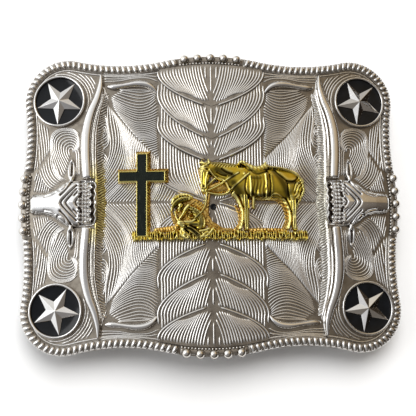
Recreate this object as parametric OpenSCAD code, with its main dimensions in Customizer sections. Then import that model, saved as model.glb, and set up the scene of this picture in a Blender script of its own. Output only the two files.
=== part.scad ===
// Western belt buckle, lying on its back with its face up.
// Seen from the front, +X is to the right and +Y is to the top edge. The face looks along +Z.
// The origin is below the middle of the face, on the surface that the buckle lies on.

/* [Plate] */
// Radius of the bow across the width
bow_r = 350; // [250:10:600]
// Thickness of the cast plate
plate_t = 2; // [1.6:0.1:2.6]
// Height of the scalloped edge's middle above the centre, top and bottom
top_peak = 50; // [49.6:0.1:50.4]
// Reach of the scalloped edge's middle from the centre, left and right
side_peak = 63.4; // [63:0.1:63.8]
// Height of the lowest point of the hollow in the top edge
top_dip = 46.9; // [46.5:0.1:47.2]
// Reach of the narrowest point of the hollow in the side edge
side_dip = 61.8; // [61.6:0.1:62]
// Radius of the hollow in the top edge
top_hollow_r = 62; // [58:1:68]
// Radius of the hollow in the side edge
side_hollow_r = 75; // [70:1:80]
// Radius of the rounded corners
corner_r = 14.2; // [13.8:0.1:14.6]
// Distance of the corner's centre from the centre line, across
corner_x = 48.6; // [48:0.1:49]
// Distance of the corner's centre from the centre line, upwards
corner_y = 35.2; // [34.8:0.1:35.6]

/* [Rim] */
// Width of the roped rim
rope_w = 3; // [2.6:0.1:3.2]
// Height of the rope's ridges above the face
rope_h = 1.6; // [1:0.1:2]
// Distance from one ridge of the rope to the next
rope_pitch = 1.8; // [1.6:0.1:2.4]
// How far the ridges lean along the rim
rope_lean = 0.25; // [0:0.05:0.5]
// Radius of the beads in the middle of each side
bead_r = 1.55; // [1.2:0.05:1.7]
// Distance from one bead to the next
bead_pitch = 4.4; // [3.8:0.1:4.8]
// Number of beads in each row
bead_count = 5; // [3:2:5]

/* [Medallions] */
// Distance of a medallion's centre from the centre line, across
medal_x = 50.8; // [50:0.1:51]
// Distance of a medallion's centre from the centre line, upwards
medal_y = 35; // [34.6:0.1:35.4]
// Outer radius of the ring round a medallion
ring_r = 8.9; // [8.4:0.1:9]
// Width of that ring
ring_w = 0.8; // [0.6:0.1:1.2]
// Height of that ring
ring_h = 1.5; // [1.2:0.1:2]
// Depth of the enamel under the star
enamel_h = 0.7; // [0.4:0.1:0.9]
// Height of the star's middle above the face
star_h = 2.2; // [1.6:0.1:2.6]
// Radius of the star's inner corners, as a share of its points
star_waist = 0.4; // [0.36:0.01:0.46]

/* [Longhorn heads] */
// Distance from the centre line to the tip of the nose
nose_x = 60.1; // [59.6:0.1:60.2]
// Height of the head's crown above the face
head_h = 3.4; // [2.6:0.1:4]
// Height of the horns at their root
horn_h = 2.8; // [2:0.1:3.2]
// Length of an ear
ear_l = 7.4; // [6:0.2:8]

/* [Feather tiers] */
// Half width of the feathered middle field
fan_w = 17.3; // [16.5:0.1:17.6]
// Thickness of the lowest tier
fan_t = 0.5; // [0.4:0.05:0.7]
// How much thicker each tier is than the one that it lies over
fan_step = 0.25; // [0.15:0.05:0.4]

/* [Cross] */
// Distance of the upright's middle from the centre line
cross_x = -23.1; // [-23.4:0.1:-22.8]
// Width of the enamel in the upright and the arms
cross_w = 2.8; // [2.4:0.1:3]
// Height of the arms' middle line above the centre
cross_arm_y = 8.3; // [8:0.1:8.6]
// Length of the enamel in the arms
cross_arm_l = 14.6; // [14:0.1:15]
// Top of the enamel in the upright
cross_top = 15.6; // [15:0.1:16]
// Foot of the enamel in the upright
cross_foot = -11.2; // [-11.3:0.1:-11]
// Width of the gold frame on the lower left
frame_w = 0.7; // [0.5:0.1:0.9]
// Width of the gold frame on the upper right
frame_wide = 1.3; // [1:0.1:1.5]
// Height of the cross above the face
cross_h = 2.4; // [1.8:0.1:2.8]

/* [Riding scene] */
// Height of the ground strip above the face
strip_h = 2.2; // [1.8:0.1:2.6]
// Left end of the ground strip
strip_left = -26.3; // [-26.6:0.1:-26]
// Right end of the ground strip
strip_right = 31.4; // [31:0.1:32]
// Top edge of the ground strip
strip_top = -9.9; // [-10:0.1:-9.8]
// Bottom edge of the ground strip
strip_bottom = -12.6; // [-12.8:0.1:-12.4]
// Height of the horse's barrel above the face
horse_h = 3.2; // [2.6:0.1:3.8]
// Height of the kneeling rider's back above the face
rider_h = 3.2; // [2.6:0.1:3.8]

/* [Back] */
// Diameter of the loop's wire
loop_d = 3.2; // [2.6:0.1:3.6]
// Inner width of the loop, for the strap
loop_w = 40; // [39:0.5:42]
// Clear height between the loop and the plate
loop_gap = 6.2; // [5.5:0.1:7]
// Bend radius of the loop's corners, at the middle of the wire
loop_bend = 3; // [2.6:0.1:4]
// Distance of the loop from the centre line
loop_x = 47; // [44:0.5:50]
// Radius of the post that goes through the strap's holes
post_r = 1.9; // [1.6:0.1:2.1]
// Distance of the post from the centre line
post_x = 45; // [40:0.5:50]
// Radius of the collar at the post's root
collar_r = 3; // [2.6:0.1:3.6]
// Height of the collar's flat face, where the clear part of the post ends
collar_z = 8.4; // [8:0.1:8.6]

/* [Hidden] */
// Space between the pieces
gap = 0.05;
// Sides of the sphere from which limbs are blended
limb_fn = 8;
// Long enough to pass through the whole buckle
through = 160;
// How far a shape that is cut to the face reaches above it first
clear_above = 10;

// How far the bowed face has dropped at a distance x from the middle
function sag(x) = bow_r - sqrt(bow_r * bow_r - x * x);
crown_z = loop_d + loop_gap + plate_t + sag(loop_x);
function face_z(x) = crown_z - sag(x);

// The edge is five arcs that run into each other in each quarter, so the places of the
// hollows and of the two wide middle arcs follow from their radii and the corner.
top_hollow_x = corner_x - sqrt(pow(top_hollow_r + corner_r, 2) - pow(top_dip + top_hollow_r - corner_y, 2));
top_hollow_y = top_dip + top_hollow_r;
side_hollow_x = side_dip + side_hollow_r;
side_hollow_y = corner_y - sqrt(pow(side_hollow_r + corner_r, 2) - pow(side_hollow_x - corner_x, 2));
function middle_centre(reach, near, off) = (reach * reach - near * near - off * off) / (2 * (reach - near));
top_middle_y = middle_centre(top_peak + top_hollow_r, top_hollow_y, top_hollow_x);
side_middle_x = middle_centre(side_peak + side_hollow_r, side_hollow_x, side_hollow_y);
top_middle_r = top_peak - top_middle_y;
side_middle_r = side_peak - side_middle_x;

// Directions from one arc's centre to the next
top_turn = atan2(top_hollow_y - top_middle_y, top_hollow_x);
upper_turn = atan2(top_hollow_y - corner_y, top_hollow_x - corner_x);
side_turn = atan2(side_hollow_y - corner_y, side_hollow_x - corner_x);
lower_turn = atan2(side_hollow_y, side_hollow_x - side_middle_x);

// One quarter of the edge, moved inwards: [centre x, centre y, radius, start, end, 1 or -1 for a hollow]
function edge_arcs(inset) = [
    [0, top_middle_y, top_middle_r - inset, 90, top_turn, 1],
    [top_hollow_x, top_hollow_y, top_hollow_r + inset, top_turn + 180, upper_turn + 180, -1],
    [corner_x, corner_y, corner_r - inset, upper_turn, side_turn, 1],
    [side_hollow_x, side_hollow_y, side_hollow_r + inset, side_turn + 180, lower_turn + 180, -1],
    [side_middle_x, 0, side_middle_r - inset, lower_turn, 0, 1]
];
function arc_length(arc) = abs(arc[4] - arc[3]) * PI / 180 * arc[2];
function edge_length(arcs, i = 0) = i < len(arcs) ? arc_length(arcs[i]) + edge_length(arcs, i + 1) : 0;

// Place and outward direction at a distance s along the arcs: [x, y, direction x, direction y]
function on_arc(arc, s) =
    let (turn = sign(arc[4] - arc[3]) * s / arc[2] * 180 / PI, a = arc[3] + turn, d = [cos(a), sin(a)])
    [arc[0] + arc[2] * d.x, arc[1] + arc[2] * d.y, arc[5] * d.x, arc[5] * d.y];
function along(arcs, s, i = 0) =
    s > arc_length(arcs[i]) && i < len(arcs) - 1
        ? along(arcs, s - arc_length(arcs[i]), i + 1)
        : on_arc(arcs[i], s);

// The flat shape inside the edge, moved inwards: each arc in steps of about 8 degrees
arc_step = 8;
function edge_quarter(inset) = [for (arc = edge_arcs(inset))
    let (steps = max(3, ceil(abs(arc[4] - arc[3]) / arc_step)))
    for (i = [0:steps - 1])
        let (q = on_arc(arc, arc_length(arc) * (i + 0.5) / steps))
        [q[0], q[1]]];
module edge_shape(inset) {
    upper = edge_quarter(inset);
    lower = [for (i = [len(upper) - 1:-1:0]) [upper[i].x, -upper[i].y]];
    right = concat(upper, lower);
    left = [for (i = [len(right) - 1:-1:0]) [-right[i].x, right[i].y]];
    polygon(concat(right, left));
}

// Everything below the bowed surface that lies h above the face
module bow_core(h) {
    translate([0, 0, crown_z - bow_r]) rotate([90, 0, 0])
        cylinder(r = bow_r + h, h = through, center = true, $fn = 256);
}

// A flat shape raised from h0 to h1 above the face, bowed as the face is
module bowed(h0, h1) {
    difference() {
        intersection() {
            linear_extrude(height = crown_z + clear_above) children();
            bow_core(h1);
        }
        bow_core(h0);
    }
}

// What lies above the plate's back within reach of x, to trim a fitting to that back
module above_back(x, reach) {
    difference() {
        translate([x - reach, -reach, 0]) cube([2 * reach, 2 * reach, 2 * crown_z]);
        bow_core(-plate_t - gap);
    }
}

// Copies a piece of the upper right quarter into another quarter
module quarter(sx, sy) {
    mirror([sx < 0 ? 1 : 0, 0, 0]) mirror([0, sy < 0 ? 1 : 0, 0]) children();
}

// A closed solid through sections that all have the same number of points
module skin(sections) {
    n = len(sections);
    k = len(sections[0]);
    polyhedron(
        points = [for (s = sections) for (p = s) p],
        faces = concat(
            [for (i = [0:n - 2], j = [0:k - 1])
                let (a = i * k, b = a + k, next = (j + 1) % k)
                each [[a + j, a + next, b + j], [a + next, b + next, b + j]]],
            [[for (j = [k - 1:-1:0]) j]],
            [[for (j = [0:k - 1]) (n - 1) * k + j]]
        )
    );
}

// Cross section of a rounded ridge: [across from -1 to 1, height from 0 to 1]
ridge_profile = [[-1, 0], [-0.88, 0.55], [-0.5, 0.9], [0, 1], [0.5, 0.9], [0.88, 0.55], [1, 0]];
// Cross section of a horn, with a steep wall on the side of the middle field
horn_profile = [[-1, 0], [-0.95, 0.5], [-0.5, 0.95], [0, 1], [0.35, 0.85], [0.7, 0.3], [1, 0]];

// A ridge that follows a path on the face: each row is [x, y, half width, height]
module ridge(rows, profile) {
    last = len(rows) - 1;
    skin([for (i = [0:last])
        let (
            a = rows[max(i - 1, 0)],
            b = rows[min(i + 1, last)],
            step = [b[0] - a[0], b[1] - a[1]],
            side = [-step.y, step.x] / norm(step),
            r = rows[i]
        )
        [for (p = profile)
            let (x = r[0] + side.x * p[0] * r[2], y = r[1] + side.y * p[0] * r[2])
            [x, y, face_z(x) + gap + p[1] * r[3]]]
    ]);
}

// A round limb through soft knots on the face: each row is [x, y, half width, height]
module limb(rows) {
    for (i = [0:len(rows) - 2])
        hull() {
            knot(rows[i]);
            knot(rows[i + 1]);
        }
}
module knot(row) {
    translate([row[0], row[1], face_z(row[0])]) scale([row[2], row[2], row[3]]) sphere(r = 1, $fn = limb_fn);
}

// Sub-parts

module plate() {
    color("gainsboro") bowed(-plate_t, 0) edge_shape(0);
}

// Half length of a bead row's band, and where the rope starts beside it
band_margin = 0.5;
bead_run = (bead_count - 1) / 2 * bead_pitch + bead_r + band_margin;
rope_start = bead_run + 6 * gap;
// Cross section of the rope: [across from -1 inside to 1 outside, share of the height]
rope_profile = [[-1, 0], [-0.75, 0.75], [0.05, 1], [0.8, 0.75], [1, 0]];
// Height and width of the rope between two ridges, as shares of a ridge's
valley_share = 0.6;
valley_waist = 0.92;

// Roped rim of the upper right quarter, between two rows of beads
module rope() {
    arcs = edge_arcs(rope_w / 2);
    run = edge_length(arcs) - 2 * rope_start - 2 * rope_lean;
    ridges = round(run / rope_pitch);
    color("silver") skin([for (i = [0:2 * ridges])
        let (
            crest = i % 2 == 1,
            h = rope_h * (crest ? 1 : valley_share),
            w = rope_w / 2 * (crest ? 1 : valley_waist)
        )
        [for (p = rope_profile)
            let (
                q = along(arcs, rope_start + rope_lean * (1 + p[0]) + run * i / (2 * ridges)),
                x = q[0] + q[2] * p[0] * w,
                y = q[1] + q[3] * p[0] * w
            )
            [x, y, face_z(x) + gap + p[1] * h]]
    ]);
}

// Height of the beads' centres above the face, and their distance from the edge
bead_up = 0.7;
bead_inset = 0.8;
// Height of the band under the beads, and how far its ends are cut past the edge
band_h = 0.7;
band_cut = 6;

// A row of beads on a low band: top and bottom rows run across, side rows run up
module bead_row(upright) {
    arcs = edge_arcs(bead_inset);
    whole = edge_length(arcs);
    half = (bead_count - 1) / 2;
    color("silver") difference() {
        union() {
            bowed(gap, band_h) difference() {
                intersection() {
                    edge_shape(0);
                    if (upright)
                        translate([side_peak - band_cut, -bead_run]) square([2 * band_cut, 2 * bead_run]);
                    else
                        translate([-bead_run, top_peak - band_cut]) square([2 * bead_run, 2 * band_cut]);
                }
                edge_shape(rope_w);
            }
            for (i = [-half:half]) {
                q = along(arcs, upright ? whole - abs(i) * bead_pitch : abs(i) * bead_pitch);
                x = upright || i >= 0 ? q[0] : -q[0];
                y = upright && i < 0 ? -q[1] : q[1];
                translate([x, y, face_z(x) + bead_up]) sphere(r = bead_r, $fn = 48);
            }
        }
        bow_core(gap);
    }
}

// Puts a piece on the face at a medallion, square to the bow there
module on_medal() {
    translate([medal_x, medal_y, face_z(medal_x)]) rotate([0, asin(medal_x / bow_r), 0]) children();
}

module bezel() {
    color("gainsboro") on_medal() rotate_extrude($fn = 96) union() {
        translate([ring_r - ring_w, gap]) square([ring_w, ring_h - ring_w / 2 - gap]);
        translate([ring_r - ring_w / 2, ring_h - ring_w / 2]) circle(r = ring_w / 2, $fn = 32);
    }
}

module enamel() {
    color([0.06, 0.07, 0.08]) on_medal() translate([0, 0, gap])
        cylinder(r = ring_r - ring_w - gap, h = enamel_h - gap, $fn = 96);
}

star_points = 5;
// Height of the star's upright edge, below its folded points
star_edge = 0.25;

// A star with one point down, folded along each point
module star() {
    reach = ring_r - ring_w - gap;
    base_z = enamel_h + gap;
    ring = [for (i = [0:2 * star_points - 1])
        let (a = -90 + i * 180 / star_points, r = i % 2 == 0 ? reach : reach * star_waist)
        [r * cos(a), r * sin(a)]];
    count = len(ring);
    color("gainsboro") on_medal() polyhedron(
        points = concat(
            [for (p = ring) [p.x, p.y, base_z]],
            [for (p = ring) [p.x, p.y, base_z + star_edge]],
            [[0, 0, base_z], [0, 0, star_h]]
        ),
        faces = concat(
            [for (i = [0:count - 1]) [i, (i + 1) % count, 2 * count]],
            [for (i = [0:count - 1]) [count + (i + 1) % count, count + i, 2 * count + 1]],
            [for (i = [0:count - 1]) [i, count + i, (i + 1) % count]],
            [for (i = [0:count - 1]) [(i + 1) % count, count + i, count + (i + 1) % count]]
        )
    );
}

// The head from nose to poll: [distance from the nose, half width, height as a share of the crown's]
head_rows = [
    [0, 2.5, 0.45], [0.8, 3.5, 0.68], [2.6, 3.5, 0.77], [5, 3.6, 0.85], [8, 4.6, 0.92],
    [10.5, 6.6, 0.97], [13, 8, 1], [16, 8.1, 1], [19, 7.9, 0.95], [21, 7.7, 0.85], [21.8, 7.4, 0.5]
];
head_profile = [
    [-1, 0], [-0.96, 0.45], [-0.8, 0.74], [-0.5, 0.92], [0, 1],
    [0.5, 0.92], [0.8, 0.74], [0.96, 0.45], [1, 0]
];
// Distance of an ear from the centre line, and where it leaves the head, upwards
ear_x = 46.4;
ear_root = 7.7;
// Along an ear: [share of its length, half width, height]
ear_rows = [[0, 0.7, 1.9], [0.2, 1.3, 1.8], [0.5, 1.45, 1.6], [0.8, 0.85, 1.2], [1, 0.15, 0.7]];

// Longhorn head with both ears, on the right, nose outwards
module skull() {
    color("gainsboro") {
        skin([for (r = head_rows)
            let (x = nose_x - r[0])
            [for (p = head_profile) [x, -p[0] * r[1], face_z(x) + gap + p[1] * r[2] * head_h]]
        ]);
        for (sy = [-1, 1])
            mirror([0, sy < 0 ? 1 : 0, 0])
                ridge([for (r = ear_rows) [ear_x, ear_root + r[0] * ear_l, r[1], r[2]]], ridge_profile);
    }
}

// From root to tip of a horn: [x, y, half width, height as a share of the root's]
horn_rows = [
    [40.7, 8.2, 2.15, 1], [41, 12.5, 2.3, 1], [41.3, 17.6, 2.3, 0.96], [41.2, 22.8, 2.3, 0.92],
    [40.6, 27.1, 2.1, 0.86], [39.5, 31.2, 1.9, 0.8], [37.9, 35.4, 1.6, 0.72], [36.9, 39.8, 1.2, 0.62],
    [36.9, 44, 0.4, 0.45]
];
module horn() {
    color("gainsboro") ridge([for (r = horn_rows) [r[0], r[1], r[2], r[3] * horn_h]], horn_profile);
}

// Hatched slope beside the horns and the poll, from its upper end to its middle:
// [x, y, half width, height]
slope_rows = [
    [35, 37.4, 0.35, 0.4], [36.4, 31, 0.75, 0.8], [37.3, 24, 1, 1],
    [37.3, 16, 1.1, 1.1], [36.9, 8, 1.2, 1.2], [36.7, 0, 1.25, 1.2]
];
module slope() {
    lower = [for (i = [len(slope_rows) - 2:-1:0])
        let (r = slope_rows[i])
        [r[0], -r[1], r[2], r[3]]];
    color("silver") ridge(concat(slope_rows, lower), ridge_profile);
}

// Leaf scroll that springs from beside a horn's tip: [x, y, half width, height]
scroll_rows = [
    [34.6, 39.2, 0.6, 0.9], [32.6, 39.4, 0.9, 1.2], [29, 39.8, 0.8, 1.4], [25, 40.3, 1, 1.6],
    [21.8, 39.9, 1, 1.6], [19.4, 38.7, 0.8, 1.3], [18, 37.1, 0.3, 0.8]
];
module scroll() {
    color("silver") ridge(scroll_rows, ridge_profile);
}

// A smooth curve from a to d that leaves towards b and arrives from c
function curve(a, b, c, d, t) =
    pow(1 - t, 3) * a + 3 * pow(1 - t, 2) * t * b + 3 * (1 - t) * t * t * c + pow(t, 3) * d;

// How a feather tier's edge bulges at its side and flattens towards its point: distances
// from the centre line, and shares of the way down and of the way up
tier_steps = 8;
lobe_x = fan_w + 1.6;
lobe_down = 0.38;
foot_x = 9;
foot_up = 0.22;

// Lower edge of a feather tier, from its side at height side_y to its point at height tip_y
function tier_edge(side_y, tip_y) =
    let (
        fall = side_y - tip_y,
        side = [fan_w, side_y],
        lobe = [lobe_x, side_y - lobe_down * fall],
        foot = [foot_x, tip_y + foot_up * fall],
        tip = [0, tip_y]
    )
    [for (i = [0:tier_steps]) curve(side, lobe, foot, tip, i / tier_steps)];

// Tiers from the rim inwards: [height of the side, height of the point]
upper_tiers = [[45.2, 32.4], [38.1, 21.2], [27.2, 13.7]];
lower_tiers = [[45.2, 34.2], [37.8, 23.4], [26.4, 13.6]];
tier_count = len(upper_tiers);

// A tier's flat shape, which runs past the rim
module tier_shape(tier) {
    edge = tier_edge(tier[0], tier[1]);
    past = top_peak + clear_above;
    polygon(concat(
        edge,
        [for (i = [tier_steps - 1:-1:0]) [-edge[i].x, edge[i].y]],
        [[-edge[0].x, past], [edge[0].x, past]]
    ));
}

// One feather tier above the centre, under the tiers nearer to the rim
module tier(tiers, i) {
    h = fan_t + (tier_count - 1 - i) * fan_step;
    color("silver") bowed(gap, h) difference() {
        intersection() {
            tier_shape(tiers[i]);
            edge_shape(rope_w + gap);
        }
        if (i > 0)
            translate([0, -gap]) tier_shape(tiers[i - 1]);
    }
}

// The cross's flat shape: b is the border on the lower left, c the border on the upper right
module cross_shape(b, c) {
    translate([cross_x - cross_w / 2 - b, cross_foot - b])
        square([cross_w + b + c, cross_top - cross_foot + b + c]);
    translate([cross_x - cross_arm_l / 2 - b, cross_arm_y - cross_w / 2 - b])
        square([cross_arm_l + b + c, cross_w + b + c]);
}

// How far the enamel lies below the frame's top, and the height of the pocket's floor
enamel_sink = 0.3;
enamel_floor = 1.4;
// Height of the frame's wide lower part, as a share of the cross's
skirt_share = 0.55;

module cross_frame() {
    color("gold") difference() {
        union() {
            bowed(gap, cross_h) cross_shape(frame_w, frame_w);
            bowed(gap, cross_h * skirt_share) cross_shape(frame_w, frame_wide);
        }
        difference() {
            linear_extrude(height = crown_z + clear_above) cross_shape(0, 0);
            bow_core(enamel_floor);
        }
    }
}

module cross_enamel() {
    color([0.1, 0.12, 0.1]) bowed(enamel_floor + gap, cross_h - enamel_sink) cross_shape(-gap, -gap);
}

module ground_strip() {
    color("gold") bowed(gap, strip_h) difference() {
        translate([strip_left, strip_bottom]) square([strip_right - strip_left, strip_top - strip_bottom]);
        cross_shape(frame_w + gap, frame_wide + gap);
    }
}

// Half width of a hoof, and the height at which hooves and feet stand on the strip
hoof_r = 0.95;
foot_y = strip_top + hoof_r + gap;

// The horse's limbs, each from one end to the other: [x, y, half width, height]
head_limb = [
    [-2.7, 3.6, 1.1, 1.9], [-2.6, 5, 1.35, 2.2], [-2.3, 7.6, 1.5, 2.5], [-2, 10.6, 2.3, 2.8],
    [-0.6, 11.2, 2.2, 2.6]
];
neck_limb = [[-0.6, 11.2, 2.2, 2.6], [3, 10, 3.5, 2.6], [6.4, 8.5, 4.5, 2.8], [9.8, 6.8, 5.6, 3]];
ear_limb = [[-2.6, 12.4, 0.5, 2.4], [-3.4, 13.4, 0.35, 2]];
barrel_limb = [[9.8, 6.8, 5.6, 3], [14.2, 6, 5.6, 3.2], [19.4, 5.9, 5.6, 3.2], [25.4, 5.6, 5.3, 3]];
near_fore = [[10.4, 2, 2, 2.4], [11.1, -2, 1.15, 2.1], [11.1, -6.3, 1.05, 2], [11.1, foot_y, hoof_r, 2]];
far_fore = [
    [6.8, 2.4, 0.8, 2], [8.5, -0.4, 0.55, 1.7], [9.5, -3.6, 0.5, 1.6], [9.4, -6.9, 0.5, 1.6],
    [8.6, foot_y, 0.6, 1.6]
];
near_hind = [
    [26.8, 1.6, 3, 2.7], [26.6, -2.7, 1.3, 2.3], [26.6, -5, 0.9, 2.1], [26.4, -7.4, 1, 2],
    [26.7, foot_y, hoof_r, 2]
];
far_hind = [
    [21, 1.4, 0.8, 2], [23.6, -0.9, 0.5, 1.7], [25, -4.2, 0.45, 1.6], [25, -7.2, 0.45, 1.6],
    [24.2, foot_y, 0.6, 1.6]
];
tail_limb = [[29.7, 7, 1, 2.2], [30.1, 3.6, 0.9, 2], [29, 0.4, 0.5, 1.6]];
saddle_limb = [[11.3, 12.1, 1, 3], [14.6, 10.2, 1.6, 3.5], [18, 11.5, 1.3, 3.2]];
skirt_limb = [[13, 8.5, 2, 3.6], [17, 8, 2.6, 3.6], [15.8, 2.6, 1.9, 3.5]];
rein_limb = [[-0.8, 3.1, 0.35, 1.8], [2.4, 3.8, 0.35, 2], [5.1, 5.1, 0.4, 2.6], [11, 11, 0.45, 3.4]];
strap_limb = [[0.4, 1.5, 0.35, 1.5], [5.2, 1.4, 0.4, 1.8], [7, 3, 0.45, 2.8], [12.2, 8.4, 0.5, 3.7]];

module horse() {
    limbs = [
        head_limb, neck_limb, ear_limb, barrel_limb, near_fore, far_fore, near_hind, far_hind,
        tail_limb, saddle_limb, skirt_limb, rein_limb, strap_limb
    ];
    color("gold") difference() {
        scale_relief(horse_h / barrel_limb[1][3]) for (l = limbs) limb(l);
        bow_core(gap);
    }
}

// Stretches a group's relief upwards, away from the face
module scale_relief(share) {
    translate([0, 0, crown_z]) scale([1, 1, share]) translate([0, 0, -crown_z]) children();
}

// The kneeling rider's limbs: [x, y, half width, height]
back_limb = [[-6.7, -1, 2.2, 2.9], [-4.7, -3.7, 2.6, 3.2], [-3.5, -7, 2.4, 3]];
head_knot = [[-10, -1.7, 1.7, 2.8], [-10.7, -3.5, 0.9, 2.3]];
hat_crown = [[-10.6, 1, 1.9, 3.1], [-8.1, 1.4, 1.8, 3.1]];
hat_brim = [[-13.4, -3, 0.5, 2.2], [-13, -1, 0.6, 2.6], [-11.2, 0.2, 0.8, 3.2], [-6.6, 0.9, 0.6, 2.8]];
upper_arm = [[-7.8, -2.4, 1.2, 3.1], [-10.9, -5.6, 0.8, 2.6]];
forearm = [[-10.9, -5.6, 0.8, 2.6], [-7, -5.1, 0.8, 3.3]];
raised_thigh = [[-4.4, -7.4, 1.7, 2.9], [-11, -7.7, 1.2, 2.6]];
raised_shin = [[-11, -7.7, 1.2, 2.6], [-9.9, foot_y, 0.9, 2.3]];
kneeling_leg = [[-3.6, -8, 1.6, 2.5], [-5, foot_y, 0.9, 2.3]];
boot_limb = [[-2.8, -8.8, 0.9, 2], [0.3, -8.6, 0.6, 1.8]];
lead_rope = [
    [-1.8, 1.7, 0.35, 1.5], [-1.7, -0.6, 0.35, 1.7], [-2.3, -3.1, 0.35, 2.8], [-4.8, -4.9, 0.4, 3.6],
    [-7, -5.1, 0.8, 3.3]
];

module rider() {
    limbs = [
        back_limb, head_knot, hat_crown, hat_brim, upper_arm, forearm,
        raised_thigh, raised_shin, kneeling_leg, boot_limb, lead_rope
    ];
    color("gold") difference() {
        scale_relief(rider_h / back_limb[1][3]) for (l = limbs) limb(l);
        bow_core(gap);
    }
}

// Fixed wire loop on the back, soldered by its two feet
module belt_loop() {
    wire = loop_d / 2;
    leg_y = loop_w / 2 + wire;
    color("silver") translate([-loop_x, 0, 0]) difference() {
        union() {
            translate([0, 0, wire]) rotate([90, 0, 0])
                cylinder(r = wire, h = 2 * (leg_y - loop_bend), center = true, $fn = 48);
            for (flip = [0, 1])
                mirror([0, flip, 0]) {
                    translate([0, leg_y - loop_bend, wire + loop_bend])
                        rotate([90, 0, 90]) rotate([0, 0, -90]) rotate_extrude(angle = 90, $fn = 48)
                            translate([loop_bend, 0]) circle(r = wire, $fn = 48);
                    translate([0, leg_y, wire + loop_bend]) cylinder(r = wire, h = crown_z, $fn = 48);
                }
        }
        translate([loop_x, 0, 0]) above_back(-loop_x, loop_w);
    }
}

// Straight post with a round tip and a collar at its root, for the holes of the strap
module hook_post() {
    color("silver") translate([post_x, 0, 0]) difference() {
        union() {
            translate([0, 0, post_r]) sphere(r = post_r, $fn = 48);
            translate([0, 0, post_r]) cylinder(r = post_r, h = crown_z, $fn = 48);
            translate([0, 0, collar_z]) cylinder(r = collar_r, h = crown_z, $fn = 48);
        }
        translate([-post_x, 0, 0]) above_back(post_x, 2 * collar_r);
    }
}

// Puts a medallion's star in a corner, still with one point down
module star_at(corner) {
    drop = corner[2] < 0 ? -2 * medal_y : 0;
    translate([0, drop, 0]) quarter(corner[1], 1) star();
}

// Places of the repeated pieces: [name, side, side]
corners = [["top_left", -1, 1], ["top_right", 1, 1], ["bottom_left", -1, -1], ["bottom_right", 1, -1]];
sides = [["left", -1], ["right", 1]];
ends = [["top", 1], ["bottom", -1]];

plate();
for (c = corners) {
    quarter(c[1], c[2]) rope();
    quarter(c[1], c[2]) bezel();
    quarter(c[1], c[2]) enamel();
    star_at(c);
    quarter(c[1], c[2]) horn();
    quarter(c[1], c[2]) scroll();
}
for (s = sides) {
    quarter(s[1], 1) bead_row(true);
    quarter(s[1], 1) skull();
    quarter(s[1], 1) slope();
}
for (e = ends)
    quarter(1, e[1]) bead_row(false);
for (i = [1:tier_count]) {
    tier(upper_tiers, i - 1);
    quarter(1, -1) tier(lower_tiers, i - 1);
}
cross_frame();
cross_enamel();
ground_strip();
horse();
rider();
belt_loop();
hook_post();
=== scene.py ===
import math

import bmesh
import bpy
import numpy as np
from mathutils import Matrix, Vector


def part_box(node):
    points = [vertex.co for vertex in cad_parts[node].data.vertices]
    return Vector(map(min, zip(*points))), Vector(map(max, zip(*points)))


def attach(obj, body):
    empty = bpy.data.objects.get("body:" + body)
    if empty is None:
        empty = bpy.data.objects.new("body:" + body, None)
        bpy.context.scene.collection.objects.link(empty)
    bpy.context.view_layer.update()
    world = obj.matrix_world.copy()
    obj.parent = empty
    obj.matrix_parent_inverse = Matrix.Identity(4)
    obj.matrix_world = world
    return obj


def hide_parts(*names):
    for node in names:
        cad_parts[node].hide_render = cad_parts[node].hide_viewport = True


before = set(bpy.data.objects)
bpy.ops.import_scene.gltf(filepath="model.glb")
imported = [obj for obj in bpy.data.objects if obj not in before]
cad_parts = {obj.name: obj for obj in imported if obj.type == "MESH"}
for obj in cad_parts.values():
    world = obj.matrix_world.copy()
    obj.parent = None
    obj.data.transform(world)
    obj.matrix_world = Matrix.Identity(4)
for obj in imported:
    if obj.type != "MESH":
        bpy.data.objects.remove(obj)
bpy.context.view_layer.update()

# All sizes below are millimetres, and become metres where a mesh is made.
MM = 0.001
# The small gap between the face and what stands on it
GAP = 0.05

# The bowed plate: the bow's radius and the height of its crown
BOW_R = 350.0
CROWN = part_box("plate")[1].z / MM

# The scalloped edge, as in the part: middles, hollows and round corners
TOP_PEAK, SIDE_PEAK = 50.0, 63.4
TOP_DIP, SIDE_DIP = 46.9, 61.8
TOP_HOLLOW_R, SIDE_HOLLOW_R = 62.0, 75.0
CORNER_R, CORNER_X, CORNER_Y = 14.2, 48.6, 35.2

# Rim, medallions, heads, tiers, cross and strip, as in the part
ROPE_W = 3.0
BEAD_R, BEAD_PITCH, BEAD_COUNT, BEAD_UP, BEAD_INSET = 1.55, 4.4, 5, 0.7, 0.8
BEAD_RUN = (BEAD_COUNT - 1) / 2 * BEAD_PITCH + BEAD_R + 0.5
MEDAL_X, MEDAL_Y, RING_R, RING_W = 50.8, 35.0, 8.9, 0.8
ENAMEL_H, STAR_WAIST = 0.7, 0.4
NOSE_X, HEAD_H, HORN_H = 60.1, 3.4, 2.8
FAN_W, FAN_T, FAN_STEP = 17.3, 0.5, 0.25
UPPER_TIERS = ((45.2, 32.4), (38.1, 21.2), (27.2, 13.7))
LOWER_TIERS = ((45.2, 34.2), (37.8, 23.4), (26.4, 13.6))
STRIP_LEFT, STRIP_RIGHT, STRIP_TOP, STRIP_BOTTOM, STRIP_H = -26.3, 31.4, -9.9, -12.6, 2.2
CROSS_X, CROSS_W, CROSS_H = -23.1, 2.8, 2.4
# How deep the feet of ridges and reliefs lie in the plate
RIDGE_FOOT, RELIEF_FOOT = -0.3, -0.4

CORNERS = {
    "top_left": (-1, 1), "top_right": (1, 1),
    "bottom_left": (-1, -1), "bottom_right": (1, -1),
}
SIDES = {"left": -1, "right": 1}
# The rows of beads: whether each one is upright, and on which side it lies
BEAD_ROWS = {"left": (True, -1), "right": (True, 1), "top": (False, 1), "bottom": (False, -1)}


# Surfaces and paths on the face

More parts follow.
